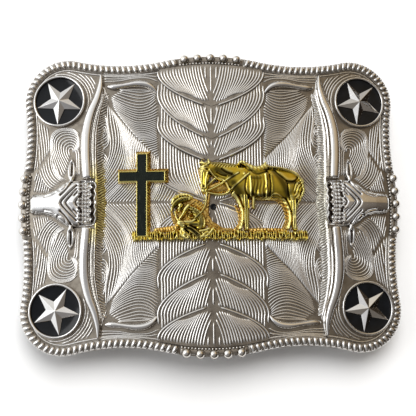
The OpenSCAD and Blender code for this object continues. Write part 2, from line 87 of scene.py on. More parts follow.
def face_z(x, up=0.0):
    """Height of the bowed face at a distance x from the middle, plus up."""
    return CROWN - BOW_R + np.sqrt(BOW_R ** 2 - np.asarray(x, float) ** 2) + up


def edge_arcs(inset):
    """One quarter of the edge, moved inwards, from the top's middle to the side's middle."""
    hollow_y = TOP_DIP + TOP_HOLLOW_R
    hollow_x = CORNER_X - math.sqrt((TOP_HOLLOW_R + CORNER_R) ** 2 - (hollow_y - CORNER_Y) ** 2)
    side_x = SIDE_DIP + SIDE_HOLLOW_R
    side_y = CORNER_Y - math.sqrt((SIDE_HOLLOW_R + CORNER_R) ** 2 - (side_x - CORNER_X) ** 2)

    def middle(reach, near, off):
        """Where a peak's arc has its middle, so that it meets the hollow smoothly."""
        return (reach ** 2 - near ** 2 - off ** 2) / (2 * (reach - near))

    top_y = middle(TOP_PEAK + TOP_HOLLOW_R, hollow_y, hollow_x)
    mid_x = middle(SIDE_PEAK + SIDE_HOLLOW_R, side_x, side_y)
    turn_1 = math.atan2(hollow_y - top_y, hollow_x)
    turn_2 = math.atan2(hollow_y - CORNER_Y, hollow_x - CORNER_X)
    turn_3 = math.atan2(side_y - CORNER_Y, side_x - CORNER_X)
    turn_4 = math.atan2(side_y, side_x - mid_x)
    return (
        (0.0, top_y, TOP_PEAK - top_y - inset, math.pi / 2, turn_1, 1),
        (hollow_x, hollow_y, TOP_HOLLOW_R + inset, turn_1 + math.pi, turn_2 + math.pi, -1),
        (CORNER_X, CORNER_Y, CORNER_R - inset, turn_2, turn_3, 1),
        (side_x, side_y, SIDE_HOLLOW_R + inset, turn_3 + math.pi, turn_4 + math.pi, -1),
        (mid_x, 0.0, SIDE_PEAK - mid_x - inset, turn_4, 0.0, 1),
    )


def arc_length(arc):
    return abs(arc[4] - arc[3]) * arc[2]


def along_edge(arcs, s):
    """Place and outward direction at a distance s along a quarter's edge."""
    for arc in arcs[:-1]:
        if s <= arc_length(arc):
            break
        s -= arc_length(arc)
    else:
        arc = arcs[-1]
    turn = arc[3] + math.copysign(s / arc[2], arc[4] - arc[3])
    out = np.array((math.cos(turn), math.sin(turn)))
    return np.array(arc[:2]) + arc[2] * out, arc[5] * out


def rim_reach(inset):
    """The inset edge as angle and distance from the middle, to test what lies inside it."""
    arcs = edge_arcs(inset)
    whole, count = sum(map(arc_length, arcs)), 240
    spots = np.array([along_edge(arcs, whole * i / count)[0] for i in range(count + 1)])
    angle = np.arctan2(spots[:, 1], spots[:, 0])
    order = np.argsort(angle)
    return angle[order], np.hypot(spots[:, 0], spots[:, 1])[order]


def inside_rim(points, reach):
    """Which points of the upper right quarter lie inside the inset edge."""
    angle = np.arctan2(points[:, 1], points[:, 0])
    return np.hypot(points[:, 0], points[:, 1]) < np.interp(angle, *reach)


def smooth_rows(rows, steps):
    """A Catmull-Rom curve through rows of any width, with steps points to each stretch."""
    rows = np.array(rows, float)
    padded = np.vstack((2 * rows[0] - rows[1], rows, 2 * rows[-1] - rows[-2]))
    made = []
    for a, b, c, d in zip(padded[:-3], padded[1:-2], padded[2:-1], padded[3:]):
        for t in np.arange(steps) / steps:
            made.append(0.5 * (
                2 * b + (c - a) * t + (2 * a - 5 * b + 4 * c - d) * t ** 2
                + (3 * b - a - 3 * c + d) * t ** 3
            ))
    made.append(rows[-1])
    return np.array(made)


def tier_edge(tier, count):
    """Lower edge of a feather tier's right half, from its side to its point."""
    side_y, tip_y = tier
    fall = side_y - tip_y
    a, b = np.array((FAN_W, side_y)), np.array((FAN_W + 1.6, side_y - 0.38 * fall))
    c, d = np.array((9.0, tip_y + 0.22 * fall)), np.array((0.0, tip_y))
    t = np.linspace(0, 1, count)[:, None]
    return (1 - t) ** 3 * a + 3 * (1 - t) ** 2 * t * b + 3 * (1 - t) * t ** 2 * c + t ** 3 * d


# Making pieces

def show(name, mesh, replaced=()):
    """Puts a finished mesh into the scene as a piece of the buckle."""
    piece = bpy.data.objects.new(name, mesh)
    bpy.context.scene.collection.objects.link(piece)
    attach(piece, "root")
    if replaced:
        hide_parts(*replaced)
    return piece


def turn_outwards(mesh, material):
    """Turns a closed mesh's faces outwards, and gives them all one material."""
    work = bmesh.new()
    work.from_mesh(mesh)
    bmesh.ops.recalc_face_normals(work, faces=work.faces)
    if work.calc_volume(signed=True) < 0:
        bmesh.ops.reverse_faces(work, faces=work.faces)
    for face in work.faces:
        face.material_index = 0
    work.to_mesh(mesh)
    work.free()
    # A ball's mesh comes with an empty slot, so the slots are set anew
    mesh.materials.clear()
    mesh.materials.append(material)


def closed_mesh(name, points, faces, material, smooth=True):
    """A mesh in metres from points in millimetres, with its faces turned outwards."""
    mesh = bpy.data.meshes.new(name)
    mesh.from_pydata((np.asarray(points, float) * MM).tolist(), [], [tuple(map(int, f)) for f in faces])
    turn_outwards(mesh, material)
    mesh.polygons.foreach_set("use_smooth", [smooth] * len(mesh.polygons))
    mesh.update()
    return mesh


def loft(rings):
    """Points and faces of a closed body through rings that all have as many points."""
    rings = np.array(rings, float)
    n, k = rings.shape[:2]
    faces = []
    for i in range(n - 1):
        for j in range(k):
            m = (j + 1) % k
            faces.append((i * k + j, i * k + m, (i + 1) * k + m, (i + 1) * k + j))
    faces.append(tuple(range(k - 1, -1, -1)))
    faces.append(tuple(range((n - 1) * k, n * k)))
    return rings.reshape(-1, 3), faces


def ridge_rings(rows, profile):
    """Rings of a ridge along rows of (x, y, half width, height), its foot sunk into the face."""
    rows = np.asarray(rows, float)
    step = np.gradient(rows[:, :2], axis=0)
    side = np.stack((-step[:, 1], step[:, 0]), 1) / np.linalg.norm(step, axis=1)[:, None]
    rings = []
    for row, across in zip(rows, side):
        ring = []
        for p, h in profile:
            x, y = row[:2] + across * p * row[2]
            ring.append((x, y, face_z(x, h * row[3])))
        for p in (profile[-1][0], profile[0][0]):
            x, y = row[:2] + across * p * row[2]
            ring.append((x, y, face_z(x, RIDGE_FOOT)))
        rings.append(ring)
    return rings


def round_profile(count, power):
    """A rounded section: across from -1 to 1, height from 0 to 1."""
    across = -np.cos(np.linspace(0, math.pi, count))
    return [(a, max(0.0, 1 - abs(a) ** power) ** (1 / power)) for a in across]


# Low relief: a height above the face at every spot, made a closed body

def nearest_on_path(x, y, rows):
    """Distance to a path, and the rows' other columns at the nearest spot."""
    rows = np.asarray(rows, float)
    best = np.full(x.shape, 1e9)
    values = [np.zeros(x.shape) for _ in range(rows.shape[1] - 2)]
    for a, b in zip(rows[:-1], rows[1:]):
        run = b[:2] - a[:2]
        share = np.clip(((x - a[0]) * run[0] + (y - a[1]) * run[1]) / max(run @ run, 1e-9), 0, 1)
        away = np.hypot(x - a[0] - share * run[0], y - a[1] - share * run[1])
        closer = away < best
        best = np.where(closer, away, best)
        for i in range(len(values)):
            values[i] = np.where(closer, a[2 + i] + share * (b[2 + i] - a[2 + i]), values[i])
    return best, values


# How steeply a limb falls off outside its edge, and how wide the surroundings are that a crest tops
WALL, CREST_SPAN = 3.0, 0.6


def swell(x, y, rows, power=2.4):
    """Height of a rounded limb along rows of (x, y, half width, height), falling off steeply outside."""
    away, (half, high) = nearest_on_path(x, y, smooth_rows(rows, 5))
    share = np.clip(away / half, 0, 1)
    return np.where(away < half, high * (1 - share ** power) ** (1 / power), WALL * (half - away))


def blend_max(a, b, soft):
    """The higher of two heights, with the crease between them rounded."""
    mix = np.clip(0.5 + 0.5 * (a - b) / soft, 0, 1)
    return b + (a - b) * mix + soft * mix * (1 - mix)


def union(x, y, limbs, soft, power=2.4):
    """Height of several limbs, with soft creases between them."""
    made = swell(x, y, limbs[0], power)
    for rows in limbs[1:]:
        made = blend_max(made, swell(x, y, rows, power), soft)
    return made


def cut(high, x, y, paths, width, depth):
    """Engraves grooves of that width and depth along paths of (x, y)."""
    for path in paths:
        away, _ = nearest_on_path(x, y, smooth_rows(path, 4))
        high = high - depth * np.exp(-((away / width) ** 2)) * (high > 0)
    return high


def cord_on(high, x, y, paths, half, up):
    """Lays raised cords along paths of (x, y, height of what they lie on)."""
    for path in paths:
        away, (base,) = nearest_on_path(x, y, smooth_rows(path, 4))
        lift = np.sqrt(np.clip(1 - (away / half) ** 2, 0, 1)) * up
        high = np.where(away < half, np.maximum(high, base) + lift, high)
    return high


def relief(name, low, high, step, height, material, replaced=(), painted_shades=()):
    """A closed body on a grid of that step, whose top is height(x, y) and whose foot is in the plate."""
    x, y = np.meshgrid(np.arange(low[0], high[0], step), np.arange(low[1], high[1], step), indexing="ij")
    up = np.maximum(height(x, y), RELIEF_FOOT)
    solid = up > RELIEF_FOOT + 1e-6
    cell = solid[:-1, :-1] & solid[1:, :-1] & solid[:-1, 1:] & solid[1:, 1:]
    cell[0, :] = cell[-1, :] = cell[:, 0] = cell[:, -1] = False
    # Cells that touch at a corner alone are joined, so that no edge has four faces
    for _ in range(3):
        corner = cell[:-1, :-1] & cell[1:, 1:] & ~cell[1:, :-1] & ~cell[:-1, 1:]
        cell[1:, :-1] |= corner
        corner = cell[1:, :-1] & cell[:-1, 1:] & ~cell[:-1, :-1] & ~cell[1:, 1:]
        cell[:-1, :-1] |= corner
    used = np.zeros(up.shape, bool)
    for a, b in ((0, 0), (1, 0), (0, 1), (1, 1)):
        used[a:used.shape[0] - 1 + a, b:used.shape[1] - 1 + b] |= cell
    number = np.full(up.shape, -1)
    number[used] = np.arange(used.sum())
    count = int(used.sum())
    z = face_z(x[used])
    top = np.stack((x[used], y[used], z + up[used]), 1)
    bottom = np.stack((x[used], y[used], z + RELIEF_FOOT - 0.05), 1)
    i, j = np.nonzero(cell)
    quads = np.stack((number[i, j], number[i + 1, j], number[i + 1, j + 1], number[i, j + 1]), 1)
    faces = [quads, quads[:, ::-1] + count]
    ring = np.pad(cell, 1)
    for di, dj, a, b in ((0, -1, 0, 1), (1, 0, 1, 2), (0, 1, 2, 3), (-1, 0, 3, 0)):
        open_side = ~ring[i + 1 + di, j + 1 + dj]
        p, q = quads[open_side, a], quads[open_side, b]
        faces.append(np.stack((q, p, p + count, q + count), 1))
    mesh = closed_mesh(name, np.vstack((top, bottom)), np.vstack(faces).tolist(), material)
    # What the finish needs to know: height above the face, how far a spot stands out, and where shade is
    # painted
    crest = up - blurred(up, round(CREST_SPAN / step))
    # Painted shade: dark patches along given paths, full near each path and fading out towards its half
    # width
    stain_and_shade = np.zeros(up.shape)
    for half, depth, path in painted_shades:
        away, _ = nearest_on_path(x, y, smooth_rows(path, 4))
        stain_and_shade = np.maximum(stain_and_shade, depth * np.clip(1.5 * (1 - away / half), 0, 1))
    for label, values in (("lift", up), ("crest", crest), ("stain_and_shade", stain_and_shade)):
        item = mesh.attributes.new(label, "FLOAT", "POINT")
        item.data.foreach_set("value", np.tile(values[used], 2).astype(np.float32))
    return show(name, mesh, replaced)


def blurred(high, reach):
    """Heights averaged over a square, twice."""
    for _ in range(2):
        for axis in (0, 1):
            rims = [(reach + 1, reach) if a == axis else (0, 0) for a in (0, 1)]
            padded = np.cumsum(np.pad(high, rims, "edge"), axis)
            high = (np.take(padded, np.arange(2 * reach + 1, padded.shape[axis]), axis)
                    - np.take(padded, np.arange(padded.shape[axis] - 2 * reach - 1), axis)) / (2 * reach + 1)
    return high


# Node trees

def add_node(tree, kind, links=None, output=0, **settings):
    """Adds a node, joins or sets its inputs, and returns one of its outputs."""
    node = tree.nodes.new(kind)
    for key, value in settings.items():
        setattr(node, key, value)
    for key, value in (links or {}).items():
        if isinstance(value, bpy.types.NodeSocket):
            tree.links.new(value, node.inputs[key])
        else:
            node.inputs[key].default_value = value
    return node.outputs[output]


def colour_ramp(tree, value, stops):
    """A colour ramp from (place, colour) stops."""
    out = add_node(tree, "ShaderNodeValToRGB", {0: value})
    ramp = out.node.color_ramp
    while len(ramp.elements) < len(stops):
        ramp.elements.new(0.5)
    for element, (place, colour) in zip(ramp.elements, stops):
        element.position = place
        element.color = (*colour, 1.0)
    return out


def mixed(tree, share, a, b, blend="MIX"):
    """Two colours, each a socket or (red, green, blue), mixed or multiplied."""
    ends = {0: share}
    for index, value in ((6, a), (7, b)):
        ends[index] = value if isinstance(value, bpy.types.NodeSocket) else (*value, 1.0)
    return add_node(tree, "ShaderNodeMix", ends, 2, data_type="RGBA", blend_type=blend)


class Tree:
    """A Geometry Nodes tree with named inputs."""

    def __init__(self, name, inputs):
        self.group = bpy.data.node_groups.new(name, "GeometryNodeTree")
        sockets = self.group.interface
        sockets.new_socket("Geometry", in_out="OUTPUT", socket_type="NodeSocketGeometry")
        sockets.new_socket("Geometry", in_out="INPUT", socket_type="NodeSocketGeometry")
        for label, kind in inputs:
            sockets.new_socket(label, in_out="INPUT", socket_type="NodeSocket" + kind)
        self.inputs = self.group.nodes.new("NodeGroupInput").outputs
        self.out = self.group.nodes.new("NodeGroupOutput").inputs[0]

    def add(self, kind, links=None, output=0, **settings):
        return add_node(self.group, kind, links, output, **settings)

    def math(self, operation, a, b):
        return self.add("ShaderNodeMath", {0: a, 1: b}, operation=operation)

    def end(self, geometry):
        """Realizes the instances, gives the result its material and ends the tree."""
        real = self.add("GeometryNodeRealizeInstances", {0: geometry})
        smooth = self.add("GeometryNodeSetShadeSmooth", {0: real})
        done = self.add("GeometryNodeSetMaterial", {0: smooth, "Material": self.inputs["Material"]})
        self.group.links.new(done, self.out)
        return self.group


def ridge_tree():
    """Half-round ridges along every line of a mesh of edges, thinner towards their ends."""
    tree = Tree("engraved_ridges", (
        ("Width", "Float"), ("Height", "Float"), ("Step", "Float"), ("Taper", "Float"),
        ("Material", "Material"),
    ))
    lines = tree.add("GeometryNodeMeshToCurve", {0: tree.inputs["Geometry"]})
    stretch = {"Curve": lines, "Length": tree.inputs["Step"]}
    even = tree.add("GeometryNodeResampleCurve", stretch, mode="LENGTH")
    level = tree.add("GeometryNodeSetCurveNormal", {"Curve": even}, mode="Z_UP")
    share = tree.add("GeometryNodeSplineParameter")
    whole = tree.add("GeometryNodeSplineLength")
    near_end = tree.math("MINIMUM", share, tree.math("SUBTRACT", 1.0, share))
    run = tree.math("MULTIPLY", near_end, whole)
    scale = tree.math("ADD", tree.math("DIVIDE", run, tree.inputs["Taper"]), 0.25)
    scale = tree.math("MINIMUM", scale, 1.0)
    arc = tree.add("GeometryNodeCurveArc", {
        "Resolution": 5, "Radius": 1.0, "Start Angle": math.pi, "Sweep Angle": math.pi,
    }, mode="RADIUS")
    half_width = tree.math("MULTIPLY", tree.inputs["Width"], 0.5)
    size = tree.add("ShaderNodeCombineXYZ", {0: half_width, 1: tree.inputs["Height"], 2: 1.0})
    section = tree.add("GeometryNodeTransform", {"Geometry": arc, "Scale": size})
    section = tree.add("GeometryNodeSetSplineCyclic", {"Geometry": section, "Cyclic": True})
    swept = tree.add("GeometryNodeCurveToMesh", {
        "Curve": level, "Profile Curve": section, "Scale": scale, "Fill Caps": True,
    })
    return tree.end(swept)


def pearl_tree():
    """Round pearls, taller or lower than they are wide, on the points of a mesh."""
    tree = Tree("set_pearls", (
        ("Radius", "Float"), ("Up", "Float"), ("Segments", "Int"), ("Rings", "Int"),
        ("Material", "Material"),
    ))
    ball = tree.add("GeometryNodeMeshUVSphere", {
        "Segments": tree.inputs["Segments"], "Rings": tree.inputs["Rings"], "Radius": 1.0,
    })
    radius = tree.inputs["Radius"]
    stretch = tree.add("ShaderNodeCombineXYZ", {0: radius, 1: radius, 2: tree.inputs["Up"]})
    ball = tree.add("GeometryNodeTransform", {"Geometry": ball, "Scale": stretch})
    strung = tree.add("GeometryNodeInstanceOnPoints", {"Points": tree.inputs["Geometry"], "Instance": ball})
    return tree.end(strung)


def grow(name, seed_mesh, tree, values):
    """Runs a tree on a seed mesh and returns the plain, closed mesh that it makes."""
    seed = bpy.data.objects.new(name + "_seed", seed_mesh)
    bpy.context.scene.collection.objects.link(seed)
    nodes = seed.modifiers.new(name, "NODES")
    nodes.node_group = tree
    for item in tree.interface.items_tree:
        if item.in_out == "INPUT" and item.name in values:
            nodes[item.identifier] = values[item.name]
    bpy.context.view_layer.update()
    done = seed.evaluated_get(bpy.context.evaluated_depsgraph_get())
    mesh = bpy.data.meshes.new_from_object(done)
    seed.modifiers.remove(nodes)
    bpy.data.objects.remove(seed)
    mesh.name = name
    turn_outwards(mesh, values["Material"])
    return mesh


def line_mesh(name, lines):
    """A mesh of edges, in metres, from lines of (x, y, z) points in millimetres."""
    points, edges = [], []
    for line in lines:
        start = len(points)
        points += (np.asarray(line, float) * MM).tolist()
        edges += [(start + i, start + i + 1) for i in range(len(line) - 1)]
    mesh = bpy.data.meshes.new(name)
    mesh.from_pydata(points, edges, [])
    return mesh


def ridge_mesh(name, lines, width, height, step, taper, material):
    """Half-round ridges along lines of (x, y, z) points."""
    return grow(name, line_mesh(name, lines), RIDGES, {
        "Width": width * MM, "Height": height * MM, "Step": step * MM, "Taper": taper * MM,
        "Material": material,
    })


def pearl_mesh(spots, radius, up, segments, rings, material):
    """Pearls at (x, y, z) spots, with their radius and half height."""
    return grow("pearls", line_mesh("pearls", [[spot] for spot in spots]), PEARLS, {
        "Radius": radius * MM, "Up": up * MM, "Segments": segments, "Rings": rings, "Material": material,
    })


# Finishes

class Finish:
    """A material on Principled BSDF, with short calls for its nodes."""

    def __init__(self, name, **sockets):
        self.material = bpy.data.materials.new(name)
        self.material.use_nodes = True
        self.tree = self.material.node_tree
        self.shader = self.tree.nodes["Principled BSDF"]
        for key, value in sockets.items():
            self.shader.inputs[key.replace("_", " ")].default_value = value
        self.place = self.add("ShaderNodeTexCoord", output="Object")

    def add(self, kind, links=None, output=0, **settings):
        return add_node(self.tree, kind, links, output, **settings)

    def noise(self, size_mm, detail=3.0):
        """Even noise with features of that size."""
        return self.add("ShaderNodeTexNoise", {
            "Vector": self.place, "Scale": 1.0 / (size_mm * MM), "Detail": detail, "Roughness": 0.55,
        })

    def facing(self):
        """How far the surface faces up: 1 on the face, 0 on an upright wall."""
        normal = self.add("ShaderNodeNewGeometry", output="Normal")
        return self.add("ShaderNodeSeparateXYZ", {0: normal}, output=2)

    def clouds(self, size_mm, *stops):
        """Colours in clouds of that size, from (place, colour) stops."""
        return colour_ramp(self.tree, self.noise(size_mm), stops)

    def range(self, value, low, high, to_low, to_high):
        return self.add("ShaderNodeMapRange", {
            "Value": value, "From Min": low, "From Max": high, "To Min": to_low, "To Max": to_high,
        })

    def mix(self, share, a, b, blend="MIX"):
        return mixed(self.tree, share, a, b, blend)

    def colour(self, socket):
        self.tree.links.new(socket, self.shader.inputs["Base Color"])

    def rough(self, socket):
        self.tree.links.new(socket, self.shader.inputs["Roughness"])

    def gloss(self, size_mm, low, high):
        """Uneven gloss: roughness from low to high, in clouds of that size."""
        self.rough(self.range(self.noise(size_mm), 0.3, 0.7, low, high))

    def bump(self, size_mm, depth_mm, detail=3.0):
        """Fine unevenness of that size and depth."""
        grain = self.noise(size_mm, detail)
        normal = self.add("ShaderNodeBump", {"Height": grain, "Distance": depth_mm * MM, "Strength": 1.0})
        self.tree.links.new(normal, self.shader.inputs["Normal"])


# The tint of the hatched slopes is full up to the first distance from the middle line, and ends at the next
TINT_FULL, TINT_END = 8, 15


def painted_shade_by_facing(name, crest, turn, flank_shade, gloss, depth):
    """Nickel with a bright crest and painted shade on its steep flanks; turn says how steep each of them is.
    """
    finish = Finish(name, Metallic=1.0)
    level = finish.range(finish.facing(), *turn, 0.0, 1.0)
    # Painted shade: the colour goes over to the dark flank colour as the surface turns from facing up to
    # upright
    finish.colour(finish.mix(level, flank_shade, finish.clouds(*crest)))
    finish.gloss(*gloss)
    finish.bump(0.9, depth)
    return finish.material


def antiqued(name, groove, body, edge, rough):
    """A relief's finish: dark in its grooves and pale along its crests, as its own attribute says."""
    finish = Finish(name, Metallic=1.0)
    crest = finish.add("ShaderNodeAttribute", output=2, attribute_name="crest")
    low = finish.range(crest, -0.22, -0.02, 0.0, 1.0)
    high = finish.range(crest, 0.03, 0.16, 0.0, 1.0)
    worn = finish.clouds(3.0, (0.3, body), (0.7, tuple(c * 1.12 for c in body)))
    # The dark groove colour is the patina of the hollows; the pale crest colour is polished high points
    # brightened further as painted highlight
    finish.colour(finish.mix(high, finish.mix(low, groove, worn), edge))
    finish.gloss(1.5, *rough)
    finish.bump(0.6, 0.008)
    return finish


def stained_ground(name, dark, pale):
    """The plate: brown-grey patina on its face between the ridges, plain nickel on its back and edge."""
    finish = Finish(name, Metallic=1.0)
    face = finish.range(finish.facing(), 0.6, 0.9, 0.0, 1.0)
    stain_and_shade = finish.clouds(3.0, (0.3, dark), (0.7, pale))
    bare = finish.clouds(5.0, (0.35, (0.72, 0.70, 0.67)), (0.65, (0.82, 0.80, 0.77)))
    finish.colour(finish.mix(face, bare, stain_and_shade))
    finish.gloss(1.0, 0.34, 0.52)
    finish.bump(0.4, 0.03)
    return finish.material


def relief_gold():
    """Gold plating: olive in the body, pale along the crests as painted highlight, orange down by the ground
    as painted reflection and shade, and darker where shade is painted.
    """
    finish = antiqued(
        "relief_gold", (0.08, 0.05, 0.008), (0.60, 0.445, 0.045), (1.0, 0.89, 0.32), (0.07, 0.13),
    )
    lift = finish.add("ShaderNodeAttribute", output=2, attribute_name="lift")
    upper = finish.shader.inputs["Base Color"].links[0].from_socket
    # Painted reflection and shade: the low parts near the plate are painted orange
    ground = finish.clouds(0.7, (0.35, (0.36, 0.20, 0.03)), (0.65, (0.95, 0.66, 0.20)))
    stain_and_shade = finish.add("ShaderNodeAttribute", output=2, attribute_name="stain_and_shade")
    # Painted shade: darker where the relief's painted shade attribute says
    upper = finish.mix(stain_and_shade, upper, (0.055, 0.042, 0.010))
    finish.colour(finish.mix(finish.range(lift, 1.15, 1.4, 0.0, 1.0), ground, upper))
    return finish.material


def hatched_nickel(name, groove, body, edge, tint):
    """The hatched slopes beside the horns, tinted beside the head."""
    finish = antiqued(name, groove, body, edge, (0.2, 0.3))
    plain = finish.shader.inputs["Base Color"].links[0].from_socket
    along = finish.add("ShaderNodeSeparateXYZ", {0: finish.place}, output=1)
    away = finish.add("ShaderNodeMath", {0: along}, operation="ABSOLUTE")
    near = finish.range(away, TINT_FULL * MM, TINT_END * MM, 1.0, 0.0)
    finish.colour(finish.mix(near, plain, finish.mix(1.0, plain, tint, "MULTIPLY")))
    return finish.material


def black_enamel():
    """Poured black enamel with a faint haze and a wavy, glossy surface."""
    finish = Finish("black_enamel", Specular_IOR_Level=0.22, Coat_Weight=0.1, Coat_Roughness=0.05)
    finish.colour(finish.clouds(3.0, (0.3, (0.002, 0.0025, 0.003)), (0.75, (0.005, 0.006, 0.008))))
    finish.gloss(2.0, 0.05, 0.12)
    finish.bump(3.5, 0.01, detail=1.0)
    return finish.material


def dark_enamel():
    """The cross's enamel: very dark green with faint scratches."""
    finish = Finish("dark_enamel", Specular_IOR_Level=0.2)
    turned = finish.add("ShaderNodeMapping", {
        "Vector": finish.place, "Rotation": (0.0, 0.0, 0.7), "Scale": (3200.0, 260.0, 260.0),
    })
    scratch = finish.add("ShaderNodeTexNoise", {"Vector": turned, "Scale": 1.0, "Detail": 2.0})
    mark = finish.range(scratch, 0.66, 0.74, 0.0, 1.0)
    deep = finish.clouds(2.0, (0.3, (0.003, 0.005, 0.0035)), (0.75, (0.007, 0.010, 0.007)))
    finish.colour(finish.mix(mark, deep, (0.04, 0.04, 0.025)))
    finish.rough(finish.range(scratch, 0.3, 0.75, 0.16, 0.4))
    finish.bump(1.5, 0.01, detail=1.0)
    return finish.material


def plain_nickel():
    """The loop and the post on the back."""
    finish = Finish("plain_nickel", Metallic=1.0)
    finish.colour(finish.clouds(2.0, (0.35, (0.70, 0.69, 0.67)), (0.65, (0.82, 0.81, 0.79))))
    finish.gloss(1.0, 0.22, 0.34)
    finish.bump(0.5, 0.01)
    return finish.material


# Polished crests of the engraving, with painted shade down their flanks
BRIGHT = painted_shade_by_facing(
    "bright_nickel", (6.0, (0.35, (0.88, 0.86, 0.82)), (0.65, (0.97, 0.96, 0.94))),
    turn=(0.45, 0.75), flank_shade=(0.08, 0.065, 0.05), gloss=(1.2, 0.2, 0.3), depth=0.008,
)
# The smooth horns, scrolls, rings, stars, strands and pearls, with painted shade where they turn down
SMOOTH = painted_shade_by_facing(
    "smooth_nickel", (4.0, (0.35, (0.88, 0.87, 0.85)), (0.7, (0.96, 0.955, 0.945))),
    turn=(0.2, 0.7), flank_shade=(0.54, 0.49, 0.43), gloss=(2.0, 0.08, 0.16), depth=0.01,
)
# The proud beads of the rim: bright on top, with painted shade all round their sides
BEAD = painted_shade_by_facing(
    "bead_nickel", (2.0, (0.35, (0.84, 0.81, 0.76)), (0.7, (0.96, 0.94, 0.91))),
    turn=(0.34, 0.7), flank_shade=(0.24, 0.205, 0.165), gloss=(2.0, 0.06, 0.12), depth=0.01,
)
GROUND = stained_ground("dark_ground", (0.25, 0.22, 0.185), (0.42, 0.38, 0.32))
# A paler copy of the patina, for the bands of the rim; on the upper tiers it is painted light, keeping them
# brighter than the lower ones
TIER_GROUND = stained_ground("tier_ground", (0.32, 0.29, 0.25), (0.52, 0.48, 0.425))
GOLD = relief_gold()
# The longhorn heads: bright skin with dark brown grooves
HEAD = antiqued(
    "relief_nickel", (0.12, 0.10, 0.08), (0.97, 0.965, 0.955), (0.99, 0.99, 0.98), (0.14, 0.22),
).material
HATCHED = {
    "left": hatched_nickel("gilt_hatching", (0.12, 0.10, 0.07), (0.52, 0.49, 0.44), (0.96, 0.94, 0.90),
                           (1.0, 0.90, 0.42)),
    "right": hatched_nickel("pale_hatching", (0.28, 0.25, 0.20), (0.78, 0.76, 0.71), (0.98, 0.97, 0.95),
                            (1.0, 1.0, 0.94)),
}
BLACK = black_enamel()
GREEN = dark_enamel()
PLAIN = plain_nickel()
RIDGES = ridge_tree()
PEARLS = pearl_tree()


def round_edges(piece, width_mm):
    """Rounds a folded piece's sharp edges a little."""
    bevel = piece.modifiers.new("worn_edges", "BEVEL")
    bevel.width = width_mm * MM
    bevel.segments = 2
    bevel.limit_method = "ANGLE"
    bevel.angle_limit = math.radians(15)


def dress(node, material):
    """Gives a CAD node its finish."""
    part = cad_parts[node]
    part.data.materials.clear()
    part.data.materials.append(material)


# The engraved lines of the upper right quarter, as guide lines that the others run between

def between(guides, pitch):
    """Lines that run between guide lines, about a pitch apart."""
    guides = np.array(guides, float)
    n, k = guides.shape[:2]
    gaps = np.linalg.norm(np.diff(guides, axis=0), axis=2).mean(1)
    reach = np.concatenate(((0.0,), np.cumsum(gaps)))
    count = max(2, round(reach[-1] / pitch) + 1)
    rows = smooth_rows(guides.reshape(n, -1), 8)
    at = np.interp(np.arange(len(rows)) / 8, np.arange(n), reach)
    want = np.linspace(0, reach[-1], count)
    lines = np.stack([np.interp(want, at, rows[:, i]) for i in range(rows.shape[1])], 1)
    return [smooth_rows(line.reshape(k, 2), 4) for line in lines]


